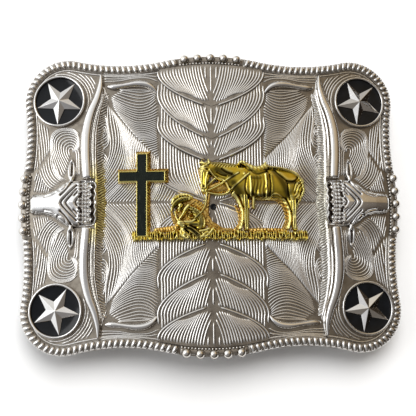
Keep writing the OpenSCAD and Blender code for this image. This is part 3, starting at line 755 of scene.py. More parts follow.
# Each field: the pitch of its lines, then its guide lines as (x, y) points
FIELD_GUIDES = {
    # Across, from the feathers outwards: a hanging curve that ends on the panel's diagonal
    "across": (0.86, (
        ((19.5, 37.9), (21.4, 38.2), (24.2, 38.4), (27.8, 38.5), (31.0, 38.8)),
        ((18.2, 37.8), (20.3, 37.4), (23.6, 36.9), (27.5, 37.6), (30.6, 38.2)),
        ((18.4, 35.6), (20.8, 33.5), (24.4, 32.7), (28.9, 34.0), (33.4, 36.4)),
        ((17.6, 32.0), (20.5, 30.3), (24.3, 29.7), (28.6, 31.3), (33.2, 34.4)),
        ((17.8, 28.4), (21.0, 27.2), (25.0, 26.9), (29.2, 29.2), (32.3, 31.6)),
        ((17.8, 25.0), (20.6, 23.8), (23.6, 23.4), (26.4, 24.4), (28.2, 26.2)),
        ((17.6, 21.9), (19.4, 21.0), (21.2, 20.6), (22.6, 20.5), (23.7, 20.6)),
        ((17.5, 18.2), (18.3, 17.8), (19.1, 17.5), (19.7, 17.3), (20.2, 17.2)),
        ((17.3, 15.6), (17.5, 15.4), (17.7, 15.2), (17.9, 15.1), (18.1, 15.0)),
    )),
    # Down, from the diagonal to the slope beside the horn, or to the middle line
    "down": (0.9, (
        ((34.4, 33.4), (34.6, 28.5), (33.5, 21.0), (34.0, 15.5), (36.0, 10.4)),
        ((32.8, 31.4), (31.0, 26.0), (30.3, 20.0), (31.9, 14.0), (35.8, 7.0)),
        ((30.4, 28.4), (28.4, 22.1), (27.8, 15.5), (29.8, 8.9), (35.6, 2.8)),
        ((27.4, 24.9), (26.1, 18.4), (26.4, 12.4), (29.2, 6.6), (35.0, 0.2)),
        ((25.4, 22.4), (24.2, 16.5), (24.8, 11.0), (27.4, 5.4), (32.2, 0.2)),
        ((23.0, 20.1), (21.9, 14.8), (22.5, 9.8), (24.9, 4.9), (28.6, 0.2)),
        ((20.6, 17.5), (19.6, 13.0), (20.1, 8.8), (22.0, 4.5), (25.1, 0.2)),
        ((18.1, 14.7), (17.7, 11.0), (18.1, 7.5), (19.5, 3.8), (21.8, 0.2)),
        ((16.4, 7.8), (16.8, 6.0), (17.4, 4.0), (18.3, 2.0), (19.4, 0.2)),
        ((12.8, 4.1), (13.2, 3.2), (13.8, 2.2), (14.4, 1.2), (15.1, 0.2)),
        ((9.0, 1.7), (9.2, 1.3), (9.4, 0.9), (9.7, 0.5), (10.0, 0.2)),
        ((5.6, 0.7), (5.7, 0.6), (5.8, 0.4), (5.9, 0.3), (6.0, 0.2)),
    )),
    # Beside the horn's tip
    "tip": (0.8, (
        ((36.3, 40.9), (35.9, 39.4), (35.7, 38.0), (35.8, 36.6), (36.2, 35.4)),
        ((35.4, 38.2), (35.2, 37.4), (34.9, 36.6), (34.6, 35.8), (34.4, 34.8)),
    )),
    # Loops round the eye beside the horn
    "eye": (0.85, (
        ((36.3, 25.2), (35.8, 25.2), (35.5, 24.4), (35.8, 23.6), (36.4, 23.5)),
        ((36.0, 27.2), (34.8, 26.6), (34.4, 24.4), (34.8, 22.2), (36.4, 21.4)),
        ((35.8, 30.4), (34.9, 28.4), (33.9, 23.6), (34.4, 19.6), (36.2, 18.2)),
    )),
    # Short strokes that run into the slope
    "notches": (0.85, (
        ((36.2, 17.0), (35.6, 16.5), (35.0, 15.8), (34.5, 14.8), (34.3, 13.8)),
        ((36.2, 11.8), (36.0, 11.6), (35.8, 11.3), (35.5, 11.0), (35.3, 10.6)),
    )),
    # Between the scroll and the rope
    "above_scroll": (0.86, (
        ((36.4, 44.4), (31.0, 43.7), (26.0, 43.9), (21.5, 44.7), (17.8, 45.9)),
        ((36.2, 41.6), (31.0, 41.7), (26.0, 42.5), (21.0, 42.5), (17.6, 41.2)),
    )),
}

OUTER_GUIDES = {
    # The whorl below the medallion, from its middle outwards
    "whorl": (0.88, (
        ((46.2, 17.4), (46.0, 18.4), (46.8, 18.9), (47.5, 18.3), (47.4, 17.0), (46.9, 15.8)),
        ((44.9, 17.6), (44.9, 20.6), (47.4, 21.8), (49.9, 20.4), (49.9, 17.2), (47.6, 12.4)),
        ((43.9, 19.2), (44.8, 23.4), (49.3, 24.7), (52.4, 22.6), (52.4, 18.0), (48.9, 9.4)),
        ((43.9, 23.2), (46.2, 25.3), (50.3, 25.7), (53.3, 23.6), (53.6, 18.0), (51.4, 9.0)),
    )),
    # Flutes between the medallion and the rim
    "flutes": (1.1, (
        ((59.4, 30.6), (59.2, 26.0), (58.7, 21.0), (58.2, 16.2), (57.9, 12.0)),
        ((57.4, 28.4), (56.8, 24.6), (56.2, 21.0), (55.8, 17.6), (55.6, 15.4)),
        ((55.2, 26.6), (54.8, 24.4), (54.5, 22.2), (54.3, 19.8), (54.2, 17.4)),
    )),
    # The long leaf that hangs from the whorl to the cheek
    "leaf": (0.95, (
        ((57.3, 11.8), (56.6, 9.6), (55.6, 7.8), (54.2, 6.1), (52.5, 5.0)),
        ((55.5, 14.6), (55.1, 12.0), (54.2, 9.6), (52.7, 7.6), (50.8, 6.3)),
        ((53.6, 16.6), (53.4, 13.4), (52.6, 10.8), (51.3, 8.8), (49.5, 7.4)),
        ((51.6, 12.0), (51.2, 10.6), (50.4, 9.5), (49.4, 8.7), (48.3, 8.2)),
    )),
    # Two strokes between the horn and the ear
    "beside_horn": (0.85, (
        ((45.6, 18.4), (45.0, 17.2), (44.8, 15.6), (44.7, 13.0), (44.6, 9.2)),
        ((44.7, 18.8), (44.2, 17.0), (44.1, 15.0), (44.0, 12.6), (43.9, 9.2)),
    )),
    # Short slants beside the nose
    "slants": (0.9, (
        ((60.6, 4.4), (60.2, 6.4), (59.6, 8.6), (58.9, 10.6), (58.5, 12.2)),
        ((57.2, 3.9), (56.9, 5.2), (56.6, 6.6), (56.4, 8.0), (56.4, 9.0)),
        ((54.4, 4.0), (54.2, 4.5), (54.0, 5.0), (53.9, 5.4), (53.9, 5.8)),
    )),
}


def to_quarter(line, sx, sy):
    """A line of the upper right quarter, mirrored into another one."""
    return np.stack((line[:, 0] * sx, line[:, 1] * sy), 1)


def on_face(line, up):
    """Lifts a flat line onto the bowed face."""
    return np.stack((line[:, 0], line[:, 1], face_z(line[:, 0], up)), 1)


def pieces_inside(line, keep):
    """The stretches of a line whose points are to be kept, three points or more each."""
    made, run = [], []
    for point, good in zip(line, keep):
        if good:
            run.append(point)
        elif run:
            made.append(np.array(run))
            run = []
    if run:
        made.append(np.array(run))
    return [part for part in made if len(part) >= 3]


# Engraved ridges: width on the plate and on the feathers, height, and how far they sink in
RIDGE_W, BARB_W, RIDGE_H, RIDGE_SINK = 0.64, 0.78, 0.32, 0.04
# The length of a ridge's steps and of its thinner ends
RIDGE_STEP, RIDGE_TAPER = 0.5, 0.8
# The lines round a medallion: their number, the first one's place, their pitch, and their angles
MEDAL_LINES, MEDAL_FIRST, MEDAL_PITCH, MEDAL_ANGLES = 5, 0.75, 0.9, (70, 205)
# What the ridges leave free along the rope, round a medallion and beside a horn
FREE_ROPE, FREE_MEDAL, FREE_HORN = 0.95, 0.35, 0.3
# Outer side of a horn: heights, and its distance from the centre line there
HORN_SIDE_Y = (0.0, 12.5, 17.6, 22.8, 27.1, 31.2, 35.4, 39.8, 44.0)
HORN_SIDE_X = (43.0, 43.3, 43.6, 43.5, 42.8, 41.5, 39.6, 38.2, 37.4)


def field_lines():
    """All ridges of the upper right quarter outside the feather tiers."""
    lines = []
    for pitch, guides in FIELD_GUIDES.values():
        lines += between(guides, pitch)
    # One ridge follows the rope
    arcs = edge_arcs(ROPE_W + 0.5)
    start = BEAD_RUN + 0.6
    border = [along_edge(arcs, s)[0] for s in np.linspace(start, sum(map(arc_length, arcs)) - start, 90)]
    lines.append(np.array(border))
    reach = rim_reach(ROPE_W + FREE_ROPE)
    flat = []
    for pitch, guides in OUTER_GUIDES.values():
        flat += between(guides, pitch)
    turn = np.radians(np.linspace(*MEDAL_ANGLES, 40))
    for i in range(MEDAL_LINES):
        radius = RING_R + MEDAL_FIRST + MEDAL_PITCH * i
        flat.append(np.stack((MEDAL_X + radius * np.cos(turn), MEDAL_Y + radius * np.sin(turn)), 1))
    for line in flat:
        off = np.hypot(line[:, 0] - MEDAL_X, line[:, 1] - MEDAL_Y)
        horn_edge = np.interp(line[:, 1], HORN_SIDE_Y, HORN_SIDE_X)
        keep = inside_rim(line, reach) & (off > RING_R + FREE_MEDAL) & (line[:, 0] > horn_edge + FREE_HORN)
        lines += pieces_inside(line, keep)
    return lines


# Barbs: pitch, the first one's distance from the spine, the smooth band along the edge,
# how much further the outer barbs lean inwards, and where the spine ends above the tip
BARB_PITCH, FIRST_BARB, BARB_BAND, BARB_SPREAD, SPINE_END = 0.93, 3.4, 0.75, 0.017, 5.0
# The smooth lozenge at the tip: how far it reaches up and to the side
TIP_UP, TIP_SIDE = 1.8, 2.2
# The barb beside the spine: its distance from it, and how far above each tier's tip it ends
INNER_X, INNER_END = 1.9, (9.5, 9.5, 9.5, 6.2)
# The fourth feather lies on the plate itself, under the riding scene
FOURTH_TIER = (10.5, 0.0)


def feather_lines(tiers, i):
    """Barbs on the right half of a feather tier: from its top to the smooth band along its edge."""
    edge = tier_edge(tiers[i], 60)
    side_y, tip_y = tiers[i]
    order = np.argsort(edge[:, 0])
    top = side_y + (5.0 if i == 3 else 1.8)
    t = np.linspace(0, 1, 22)
    # The barbs start under the tier above
    above = np.arange(tiers[i - 1][0] if i else top, top, -0.5)
    flat = []
    for x in np.arange(FIRST_BARB, FAN_W - 0.6, BARB_PITCH):
        end = x - FIRST_BARB - BARB_SPREAD * (x - FIRST_BARB) ** 2
        # The smooth band is narrower towards the side, and widens into the lozenge at the tip
        band = BARB_BAND * np.clip((14.0 - end) / 5.0, 0.3, 1)
        band += TIP_UP * np.clip(1 - end / TIP_SIDE, 0, 1) ** 1.5
        band *= 1.0 if i < 3 else 0.3
        end_y = np.interp(max(end, 0), edge[order, 0], edge[order, 1]) + band
        line_y = top + (end_y - top) * t
        leaning = x + (end - x) * t ** 1.7
        # The outer barbs follow the tier's edge
        beside = np.interp(line_y, edge[::-1, 1], edge[::-1, 0]) - (FAN_W - x) * (1 - 0.2 * t)
        share = np.clip((x - 8.0) / 8.0, 0, 1) ** 1.5
        run = np.stack(((1 - share) * leaning + share * beside, line_y), 1)
        flat.append(np.vstack((np.stack((np.full(len(above), x), above), 1), run)))
    inner = tiers[i - 1][1] if i else top
    flat.append(np.stack((INNER_X - 0.4 * t[:8], np.linspace(inner, tip_y + INNER_END[i], 8)), 1))
    # One ridge follows the tier's edge itself
    step = np.gradient(edge, axis=0)
    inward = np.stack((step[:, 1], -step[:, 0]), 1) / np.linalg.norm(step, axis=1)[:, None]
    follow = edge - inward * 0.35
    follow = follow[follow[:, 0] > TIP_SIDE]
    flat.append(np.vstack((follow[0] + (0.0, top - follow[0, 1]), follow)))
    # No barb lies on the spine, outside the rope's inner side or on the tier above
    reach = rim_reach(ROPE_W + 0.35)
    lines = []
    for line in flat:
        keep = inside_rim(line, reach) & (line[:, 0] > 0.55)
        if i:
            upper = tier_edge(tiers[i - 1], 60)[::-1]
            keep &= line[:, 1] < np.interp(line[:, 0], upper[:, 0], upper[:, 1]) - 0.35
        lines += pieces_inside(line, keep)
    return lines


def spine_line(tiers, i):
    """The ridge down the middle of a feather tier."""
    top = tiers[i - 1][1] - 0.5 if i else TOP_PEAK - ROPE_W - 0.6
    return np.stack((np.zeros(12), np.linspace(top, tiers[i][1] + SPINE_END, 12)), 1)


def engrave():
    """The raised lines of the plate and of the feathers."""
    def ridges(name, lines, width):
        mesh = ridge_mesh(name, lines, width, RIDGE_H, RIDGE_STEP, RIDGE_TAPER, BRIGHT)
        show(name, mesh)

    quarter = field_lines()
    for name, (sx, sy) in CORNERS.items():
        lines = [on_face(to_quarter(line, sx, sy), -RIDGE_SINK) for line in quarter]
        ridges("engraving_" + name, lines, RIDGE_W)
    for side, tiers, sy in (("upper", UPPER_TIERS, 1), ("lower", LOWER_TIERS, -1)):
        tiers = (*tiers, FOURTH_TIER)
        for i in range(4):
            up = (FAN_T + (2 - i) * FAN_STEP if i < 3 else 0.0) - RIDGE_SINK
            lines = [on_face(to_quarter(spine_line(tiers, i), 1, sy), up)]
            for line in feather_lines(tiers, i):
                lines += [on_face(to_quarter(line, sx, sy), up) for sx in (-1, 1)]
            ridges(f"barbs_{side}_{i + 1}", lines, BARB_W)


# The rim

# Sections of the rope's and the beads' low bands: across from -1 to 1, and height
ROPE_BAND = ((-1, 0), (-0.95, 0.35), (-0.4, 0.5), (0.5, 0.5), (0.92, 0.3), (1, 0))
BEAD_BAND = ((-1, 0), (-0.9, 0.3), (-0.4, 0.45), (0.4, 0.45), (0.9, 0.3), (1, 0))
# Strands: pitch, size of their section, their half length, lean and bow, and their foot's height
STRAND_PITCH, STRAND_W, STRAND_H, STRAND_HALF = 1.92, 1.66, 0.8, 1.32
STRAND_LEAN, STRAND_BOW, STRAND_LOW, STRAND_RISE = 0.42, 0.14, 0.12, 0.4
# What the first and the last strand leave free, and the pearls' radius, half height and place
STRAND_FREE, PEARL_R, PEARL_H, PEARL_UP = 0.35, 0.36, 0.4, 0.42
# Beads: half width of their band, the inset of its middle, and the small knobs at the beads' feet
BEAD_BAND_HALF, BEAD_BAND_IN = 0.95, 1.35
KNOB_R, KNOB_IN, KNOB_UP, KNOB_PITCH = 0.5, 2.4, 0.3, 1.1


def rope_band(arcs, start, end, sx, sy):
    """The rope's low band along the edge, between two distances from the top's middle."""
    rings = []
    for s in np.linspace(start, end, round((end - start) / 1.2)):
        (x, y), out = along_edge(arcs, s)
        ring = []
        for p, h in ROPE_BAND:
            px, py = x + out[0] * p * ROPE_W / 2, y + out[1] * p * ROPE_W / 2
            ring.append((sx * px, sy * py, face_z(px, GAP + h)))
        rings.append(ring)
    return closed_mesh("band", *loft(rings), TIER_GROUND)


def rope_quarter(name, sx, sy):
    """The roped rim of one quarter: a low band with leaning strands and pearls between them."""
    arcs = edge_arcs(ROPE_W / 2)
    start = BEAD_RUN + 6 * GAP
    run = sum(map(arc_length, arcs)) - 2 * start
    strands = round(run / STRAND_PITCH)
    lines, spots = [], []
    for i in range(strands):
        line = []
        for p in np.linspace(-1, 1, 9):
            ahead = STRAND_LEAN * p + STRAND_BOW * p * p
            s = start + STRAND_FREE + (run - 2 * STRAND_FREE) * (i + 0.5) / strands + ahead
            place, out = along_edge(arcs, min(max(s, start), start + run))
            x, y = place + out * p * STRAND_HALF
            line.append((sx * x, sy * y, face_z(x, GAP + STRAND_LOW + STRAND_RISE * (1 - p * p))))
        lines.append(line)
        edge, out = along_edge(arcs, start + run * (i + 1.0) / strands)
        spot = edge + out * (ROPE_W / 2 - PEARL_R)
        spots.append((sx * spot[0], sy * spot[1], face_z(spot[0], PEARL_UP)))
    piece_name = "rope_strands_" + name
    mesh = joined(piece_name, (
        rope_band(arcs, start, start + run, sx, sy),
        ridge_mesh("strands", lines, STRAND_W, STRAND_H, 0.3, 0.7, SMOOTH),
        pearl_mesh(spots[:-1], PEARL_R, PEARL_H, 8, 6, SMOOTH),
    ))
    show(piece_name, mesh, ("rope_" + name,))


def bead_row(name, upright, side):
    """Five proud beads on a narrow band, with a row of small knobs on their inner side."""
    def place(s, inset):
        """The spot on the inset edge at a distance s from the row's middle."""
        arcs = edge_arcs(inset)
        whole = sum(map(arc_length, arcs))
        (x, y), _ = along_edge(arcs, whole - abs(s) if upright else abs(s))
        flip = np.array((1, math.copysign(1, s)) if upright else (math.copysign(1, s), 1))
        turn = np.array((side, 1) if upright else (1, side))
        return (x, y) * flip * turn

    rings = []
    for s in np.linspace(-BEAD_RUN + GAP, BEAD_RUN - GAP, 30):
        ring = []
        for p, h in BEAD_BAND:
            x, y = place(s, BEAD_BAND_IN - p * BEAD_BAND_HALF)
            ring.append((x, y, face_z(x, GAP + h)))
        rings.append(ring)
    beads = [place((i - (BEAD_COUNT - 1) / 2) * BEAD_PITCH, BEAD_INSET) for i in range(BEAD_COUNT)]
    knobs = [place(s, KNOB_IN) for s in np.arange(-BEAD_RUN + 0.6, BEAD_RUN - 0.3, KNOB_PITCH)]
    meshes = [closed_mesh("band", *loft(rings), TIER_GROUND)]
    for places, up, radius, segments in ((beads, BEAD_UP, BEAD_R, 28), (knobs, KNOB_UP, KNOB_R, 10)):
        spots = [(x, y, face_z(x, up)) for x, y in places]
        meshes.append(pearl_mesh(spots, radius, radius, segments, segments // 2, BEAD))
    show("bead_row_" + name, joined("bead_row_" + name, meshes), ("beads_" + name,))


# Medallions

# The enamel's rings, as shares of its radius, and how much lower its middle lies
POOL_RINGS, POOL_DIP = (1.0, 0.97, 0.92, 0.86, 0.78, 0.68, 0.55, 0.4, 0.2, 0.02), 0.35


def enamel_pool(name, sx, sy):
    """Poured enamel that climbs a little towards the medallion's ring."""
    rings = []
    for share in POOL_RINGS:
        radius = (RING_R - RING_W - GAP) * share
        turn = np.arange(64) * 2 * math.pi / 64
        x = MEDAL_X + radius * np.cos(turn)
        lift = ENAMEL_H - POOL_DIP * (1 - share ** 4)
        rings.append(np.stack((sx * x, sy * (MEDAL_Y + radius * np.sin(turn)), face_z(x, lift)), 1))
    low = rings[0].copy()
    low[:, 2] = face_z(low[:, 0], GAP)
    points, faces = loft([low] + rings)
    show("enamel_pool_" + name, closed_mesh("enamel_pool_" + name, points, faces, BLACK),
         ("enamel_" + name,))


# The stars: heights of their middle and their edge above the face, and where the lower point looks
STAR_TOP, STAR_EDGE = 2.2, 0.75
STAR_TURNS = {"top_left": -94, "top_right": -97, "bottom_left": -80, "bottom_right": -101}


def star(name):
    """A five-pointed star, folded along each point."""
    low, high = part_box("star_" + name)
    reach = (high.x - low.x) / MM / (2 * math.cos(math.radians(18)))
    middle_x, middle_y = (low.x + high.x) / 2 / MM, low.y / MM + reach
    turn = math.radians(STAR_TURNS[name]) + np.arange(10) * math.pi / 5
    radius = np.where(np.arange(10) % 2 == 0, reach, reach * STAR_WAIST)
    x, y = middle_x + radius * np.cos(turn), middle_y + radius * np.sin(turn)
    foot = np.stack((x, y, face_z(x, GAP)), 1)
    edge = np.stack((x, y, face_z(x, STAR_EDGE)), 1)
    points = np.vstack((foot, edge, (middle_x, middle_y, face_z(middle_x, STAR_TOP))))
    faces = [tuple(range(9, -1, -1))]
    for i in range(10):
        j = (i + 1) % 10
        faces += [(i, j, j + 10, i + 10), (i + 10, j + 10, 20)]
    mesh = closed_mesh("folded_star_" + name, points, faces, SMOOTH, smooth=False)
    piece = show("folded_star_" + name, mesh, ("star_" + name,))
    round_edges(piece, 0.07)


def joined(name, meshes):
    """One mesh from several, with their materials kept."""
    work = bmesh.new()
    materials = []
    for mesh in meshes:
        before = len(work.faces)
        work.from_mesh(mesh)
        work.faces.ensure_lookup_table()
        material = mesh.materials[0]
        if material not in materials:
            materials.append(material)
        for face in work.faces[before:]:
            face.material_index = materials.index(material)
    whole = bpy.data.meshes.new(name)
    work.to_mesh(whole)
    work.free()
    for material in materials:
        whole.materials.append(material)
    return whole


# Horns, scrolls and slopes

def swept(name, rows, profile, node):
    """A smooth ridge along rows, as a piece that replaces a node."""
    mesh = closed_mesh(name, *loft(ridge_rings(smooth_rows(rows, 6), profile)), SMOOTH)
    show(name, mesh, (node,))


# A horn's section: across from -1 to 1, and height from 0 to 1
HORN_SECTION = (
    (-1, 0), (-0.98, 0.4), (-0.92, 0.68), (-0.8, 0.86), (-0.6, 0.96), (-0.3, 1), (0.0, 0.99), (0.25, 0.95),
    (0.42, 0.85), (0.52, 0.65), (0.58, 0.4), (0.66, 0.26), (0.8, 0.2), (0.94, 0.12), (1, 0),
)
# The upper right horn: rows of (x, y, half width, share of the horns' height)
HORN_ROWS = (
    (40.7, 8.2, 2.15, 1), (41, 12.5, 2.3, 1), (41.3, 17.6, 2.3, 0.96), (41.2, 22.8, 2.3, 0.92),
    (40.6, 27.1, 2.1, 0.86), (39.5, 31.2, 1.9, 0.8), (37.9, 35.4, 1.6, 0.72), (36.9, 39.8, 1.2, 0.62),
    (36.9, 44, 0.4, 0.45),
)
# The pitch of the slopes' hatching, and the upper right slope and scroll: (x, y, half width, height)
HATCH_PITCH = 0.85
SLOPE_ROWS = (
    (35, 37.4, 0.35, 0.4), (36.4, 31, 0.75, 0.8), (37.3, 24, 1, 1),
    (37.3, 16, 1.1, 1.1), (36.9, 8, 1.2, 1.2), (36.7, 0, 1.25, 1.2),
)
SCROLL_ROWS = (
    (34.9, 39.6, 0.5, 0.9), (32.6, 39.5, 1.1, 1.3), (29, 39.9, 0.9, 1.4), (25, 40.4, 1.2, 1.7),
    (21.8, 40.1, 1.3, 1.7), (19.6, 38.9, 1.0, 1.4), (18, 37.1, 0.4, 0.8),
)


def horns_and_scrolls():
    """Each quarter's horn and scroll, and the slope along each side's horns."""
    for name, (sx, sy) in CORNERS.items():
        horn = [(sx * x, sy * y, w, h * HORN_H) for x, y, w, h in HORN_ROWS]
        section = HORN_SECTION if sx * sy > 0 else [(-p, h) for p, h in reversed(HORN_SECTION)]
        swept("horn_curve_" + name, horn, section, "horn_" + name)
        scroll = [(sx * x, sy * y, w, h) for x, y, w, h in SCROLL_ROWS]
        swept("leaf_scroll_" + name, scroll, round_profile(11, 2.2), "scroll_" + name)
    for name, side in SIDES.items():
        low, high = sorted((side * 32.5, side * 39.8))
        relief("hatched_slope_" + name, (low, -38.2), (high, 38.2), 0.14,
               lambda x, y: slope_height(side * x, y), HATCHED[name], ("slope_" + name,))


def slope_height(x, y):
    """The right slope: a smooth line along the horn, and a ragged hatched fall towards the middle."""
    away = np.abs(y)
    rows = np.array(SLOPE_ROWS)[::-1]
    middle, half, top = (np.interp(away, rows[:, 1], rows[:, i]) for i in (0, 2, 3))
    outer = middle + half + 0.4
    ragged = 0.3 * np.sin(2 * math.pi * away / HATCH_PITCH) + 0.25 * np.sin(1.9 * away)
    inner = middle - half - 0.6 - ragged * np.clip(half, 0, 1)
    share = (outer - x) / (outer - inner)
    hatch = np.sin(2 * math.pi * (away + 0.55 * x + 0.2 * np.sin(1.1 * away)) / HATCH_PITCH)
    high = top * (1.05 - 0.8 * share) + 0.3 * np.exp(-(((share - 0.12) / 0.08) ** 2))
    high = high + 0.17 * hatch * np.clip((share - 0.2) * 6, 0, 1)
    return np.where((share > 0) & (share < 1) & (away < rows[-1, 1]), high, -1.0)


# Longhorn heads

# The head from its nose back: (distance from the nose, half width, share of the head's height)
HEAD_ROWS = (
    (0, 2.4, 0.45), (0.35, 3.0, 0.62), (0.9, 3.5, 0.72), (2.6, 3.5, 0.77), (5, 3.6, 0.85), (8, 4.6, 0.92),
    (10.5, 6.6, 0.97), (13, 8, 1), (16, 8.1, 1), (19, 7.9, 0.95), (21, 7.7, 0.85), (22.2, 7.5, 0.8),
    (22.7, 7.2, 0.5),
)
# An ear and its hollow, outwards from the head, at a fixed x
EAR_ROWS = ((46.4, 7.7, 0.7, 1.9), (46.4, 9.2, 1.3, 1.8), (46.4, 11.4, 1.45, 1.6), (46.4, 13.6, 0.85, 1.2),
            (46.4, 15.1, 0.15, 0.7))
EAR_HOLLOW = ((46.4, 9.6), (46.4, 11.6), (46.4, 13.4))
# Grooves of the brow and face, and the eye: (distance from the nose, distance from the middle)
BROW_GROOVES = (
    ((10.5, 0.0), (11.0, 1.0), (13.2, 3.4), (15.6, 5.8)),
    ((12.1, 0.0), (12.5, 0.8), (14.0, 2.6), (15.6, 4.6)),
    ((15.3, 0.0), (15.7, 0.8), (16.6, 1.9), (17.2, 2.9)),
    ((10.4, 2.7), (12.0, 4.4), (13.9, 7.0)),
    ((15.0, 2.5), (16.1, 3.8)),
)
NOSTRIL = ((0.6, 2.3), (1.4, 3.1), (2.0, 2.6))
CHEEK = ((5.0, 2.2), (7.4, 2.7), (8.8, 3.6))
EYE = (10.7, 5.5)
# The sunk field behind the brow: where it starts and ends, as distances from the nose
PIT_START, PIT_END = 16.2, 21.0
# Columns of dots on the poll: distance from the nose, the last dot's distance from the middle, pitch
DOT_COLUMNS = ((16.6, 6.6, 1.25), (17.7, 6.9, 1.3), (18.8, 6.6, 1.3), (19.7, 6.5, 1.4))
DOT_R, DOT_UP = 0.36, 0.85
# How much the head falls to both sides of its middle, and where the poll's roll of hair lies
HEAD_RIDGE, POLL_ROLL = 0.1, 21.9


def head_height(x, y):
    """Height of the right head with its ears above the face."""
    u = NOSE_X - x
    v = np.abs(y)
    rows = np.array(HEAD_ROWS)
    half = np.interp(u, rows[:, 0], rows[:, 1], left=0.01, right=0.01)
    share = np.clip(v / half, 0, 1)
    dome = np.interp(u, rows[:, 0], rows[:, 2]) * HEAD_H * (1 - share ** 3.2) ** (1 / 2.6) - HEAD_RIDGE * v
    inside = (u > 0) & (u < HEAD_ROWS[-1][0]) & (v < half)
    high = np.where(inside, dome, -1.0)
    for paths, width, depth in ((BROW_GROOVES, 0.34, 0.6), ((NOSTRIL, CHEEK), 0.22, 0.3)):
        high = cut(high, x, v, [[(NOSE_X - a, b) for a, b in path] for path in paths], width, depth)
    # The eye is a slanting oval with a sunk rim
    eye_u, eye_v = u - EYE[0], v - EYE[1]
    along, across = (eye_u + eye_v) * 0.707, (eye_v - eye_u) * 0.707
    eye = np.hypot(along / 1.65, across)
    high = high - 0.35 * np.exp(-(((eye - 1) / 0.22) ** 2)) * (high > 0)
    pit = np.clip((u - PIT_START) / 0.6, 0, 1) * np.clip((PIT_END - u) / 0.4, 0, 1)
    high = np.where(inside, high - 0.7 * pit * (v < half - 0.5), high)
    for near, last, pitch in DOT_COLUMNS:
        nearest = np.round(y / pitch) * pitch
        dot = np.hypot(u - near, y - nearest)
        high = high + DOT_UP * np.exp(-((dot / DOT_R) ** 2)) * inside * (v < last)
    # The scalloped roll of hair along the back of the poll, in two halves
    roll = POLL_ROLL + 0.2 * np.cos(2 * math.pi * v / 2.6)
    halves = inside * np.clip((v - 0.5) / 0.4, 0, 1) * np.clip((7.2 - v) / 0.4, 0, 1)
    high = high - 1.1 * np.exp(-(((u - roll + 1.0) / 0.42) ** 2)) * inside * (v < 7.0)
    high = high + 0.7 * np.exp(-(((u - roll) / 0.34) ** 2)) * halves
    ear = cut(swell(x, v, EAR_ROWS), x, v, [EAR_HOLLOW], 0.5, 1.1)
    return np.maximum(high, ear)


def heads():
    """Both heads, each with its nose towards its side."""
    for name, side in SIDES.items():
        low, high = sorted((side * (NOSE_X - 23.2), side * (NOSE_X + 0.6)))
        relief("head_" + name, (low, -15.8), (high, 15.8), 0.15,
               lambda x, y: head_height(side * x, y), HEAD, ("skull_" + name,))


# The riding scene

# Where the horse's feet end, and its limbs as rows of (x, y, half width, height)
FOOT = STRIP_TOP + 0.95 + GAP
HORSE = {
    "head": ((-2.7, 3.6, 1.1, 1.9), (-2.6, 5, 1.35, 2.2), (-2.3, 7.6, 1.5, 2.5), (-2, 10.6, 2.3, 2.8),
             (-0.6, 11.2, 2.2, 2.6)),
    "neck": ((-0.6, 11.2, 2.2, 2.6), (3, 10, 3.5, 2.6), (6.4, 8.5, 4.5, 2.8), (9.8, 6.8, 5.6, 3)),
    "ear": ((-2.6, 12.4, 0.5, 2.4), (-3.4, 13.4, 0.35, 2)),
    "barrel": ((9.8, 6.8, 5.6, 3), (14.2, 6, 5.6, 3.2), (19.4, 5.9, 5.6, 3.2), (25.4, 5.6, 5.3, 3)),
    "near_fore": ((10.4, 2, 2, 2.4), (11.1, -2, 1.15, 2.1), (11.1, -6.3, 1.05, 2), (11.1, FOOT, 0.95, 2)),
    "far_fore": ((6.8, 2.6, 0.8, 2), (8.3, 0.2, 0.5, 1.7), (9.5, -3.2, 0.45, 1.6), (9.6, -6.2, 0.45, 1.6),
                 (8.8, FOOT, 0.6, 1.6)),
    "near_hind": ((26.8, 1.6, 3, 2.7), (26.9, -2.7, 1.3, 2.3), (27.0, -5, 0.9, 2.1), (26.9, -7.4, 1, 2),
                  (27.2, FOOT, 0.95, 2)),
    "far_hind": ((20.6, 1.8, 0.7, 2), (23.4, 0.2, 0.5, 1.8), (25.0, -2.6, 0.45, 1.7),
                 (25.4, -6.0, 0.45, 1.6), (24.6, FOOT, 0.6, 1.6)),
    "tail": ((29.7, 7, 1, 2.2), (30.1, 3.6, 0.9, 2), (29, 0.4, 0.5, 1.6)),
}
# Low gold between the limbs, which stands against the ground
HORSE_LOW = (
    ((-1.4, 4.2, 1.0, 1.15), (1.6, 4.7, 1.9, 1.2), (4.8, 4.8, 1.8, 1.2)),
    ((7.6, -1.4, 0.4, 0.9), (8.9, -4.4, 0.5, 0.9), (8.9, -7.4, 0.6, 0.9), (7.6, -9.4, 0.8, 0.95)),
    ((19.6, 0.9, 0.3, 1.0), (22.6, 0.0, 0.6, 1.0), (24.3, -3.2, 0.7, 0.95), (24.7, -6.4, 0.7, 0.9),
     (23.9, -9.3, 0.9, 0.95)),
    ((12.6, -9.5, 0.7, 0.95), (18.0, -9.4, 0.7, 0.95), (23.8, -9.5, 0.7, 0.95)),
    ((-0.8, -9.3, 0.9, 0.95), (2.6, -9.4, 0.8, 0.95), (6.2, -9.5, 0.7, 0.95)),
)
SADDLE = (
    ((8.8, 12.3, 0.6, 3.0), (9.7, 12.9, 0.75, 3.3), (11.4, 12.1, 0.8, 3.1)),
    ((11.3, 12.0, 0.9, 3.1), (14.6, 10.2, 1.6, 3.4), (17.8, 11.4, 1.2, 3.2)),
    ((17.0, 11.6, 0.6, 3.2), (17.7, 12.7, 0.5, 3.1)),
    ((13, 8.5, 2, 3.4), (17, 8, 2.6, 3.4), (15.8, 2.6, 1.9, 3.2)),
    ((13.7, 1.4, 0.8, 2.4), (13.5, -2.0, 0.6, 1.7)),
)
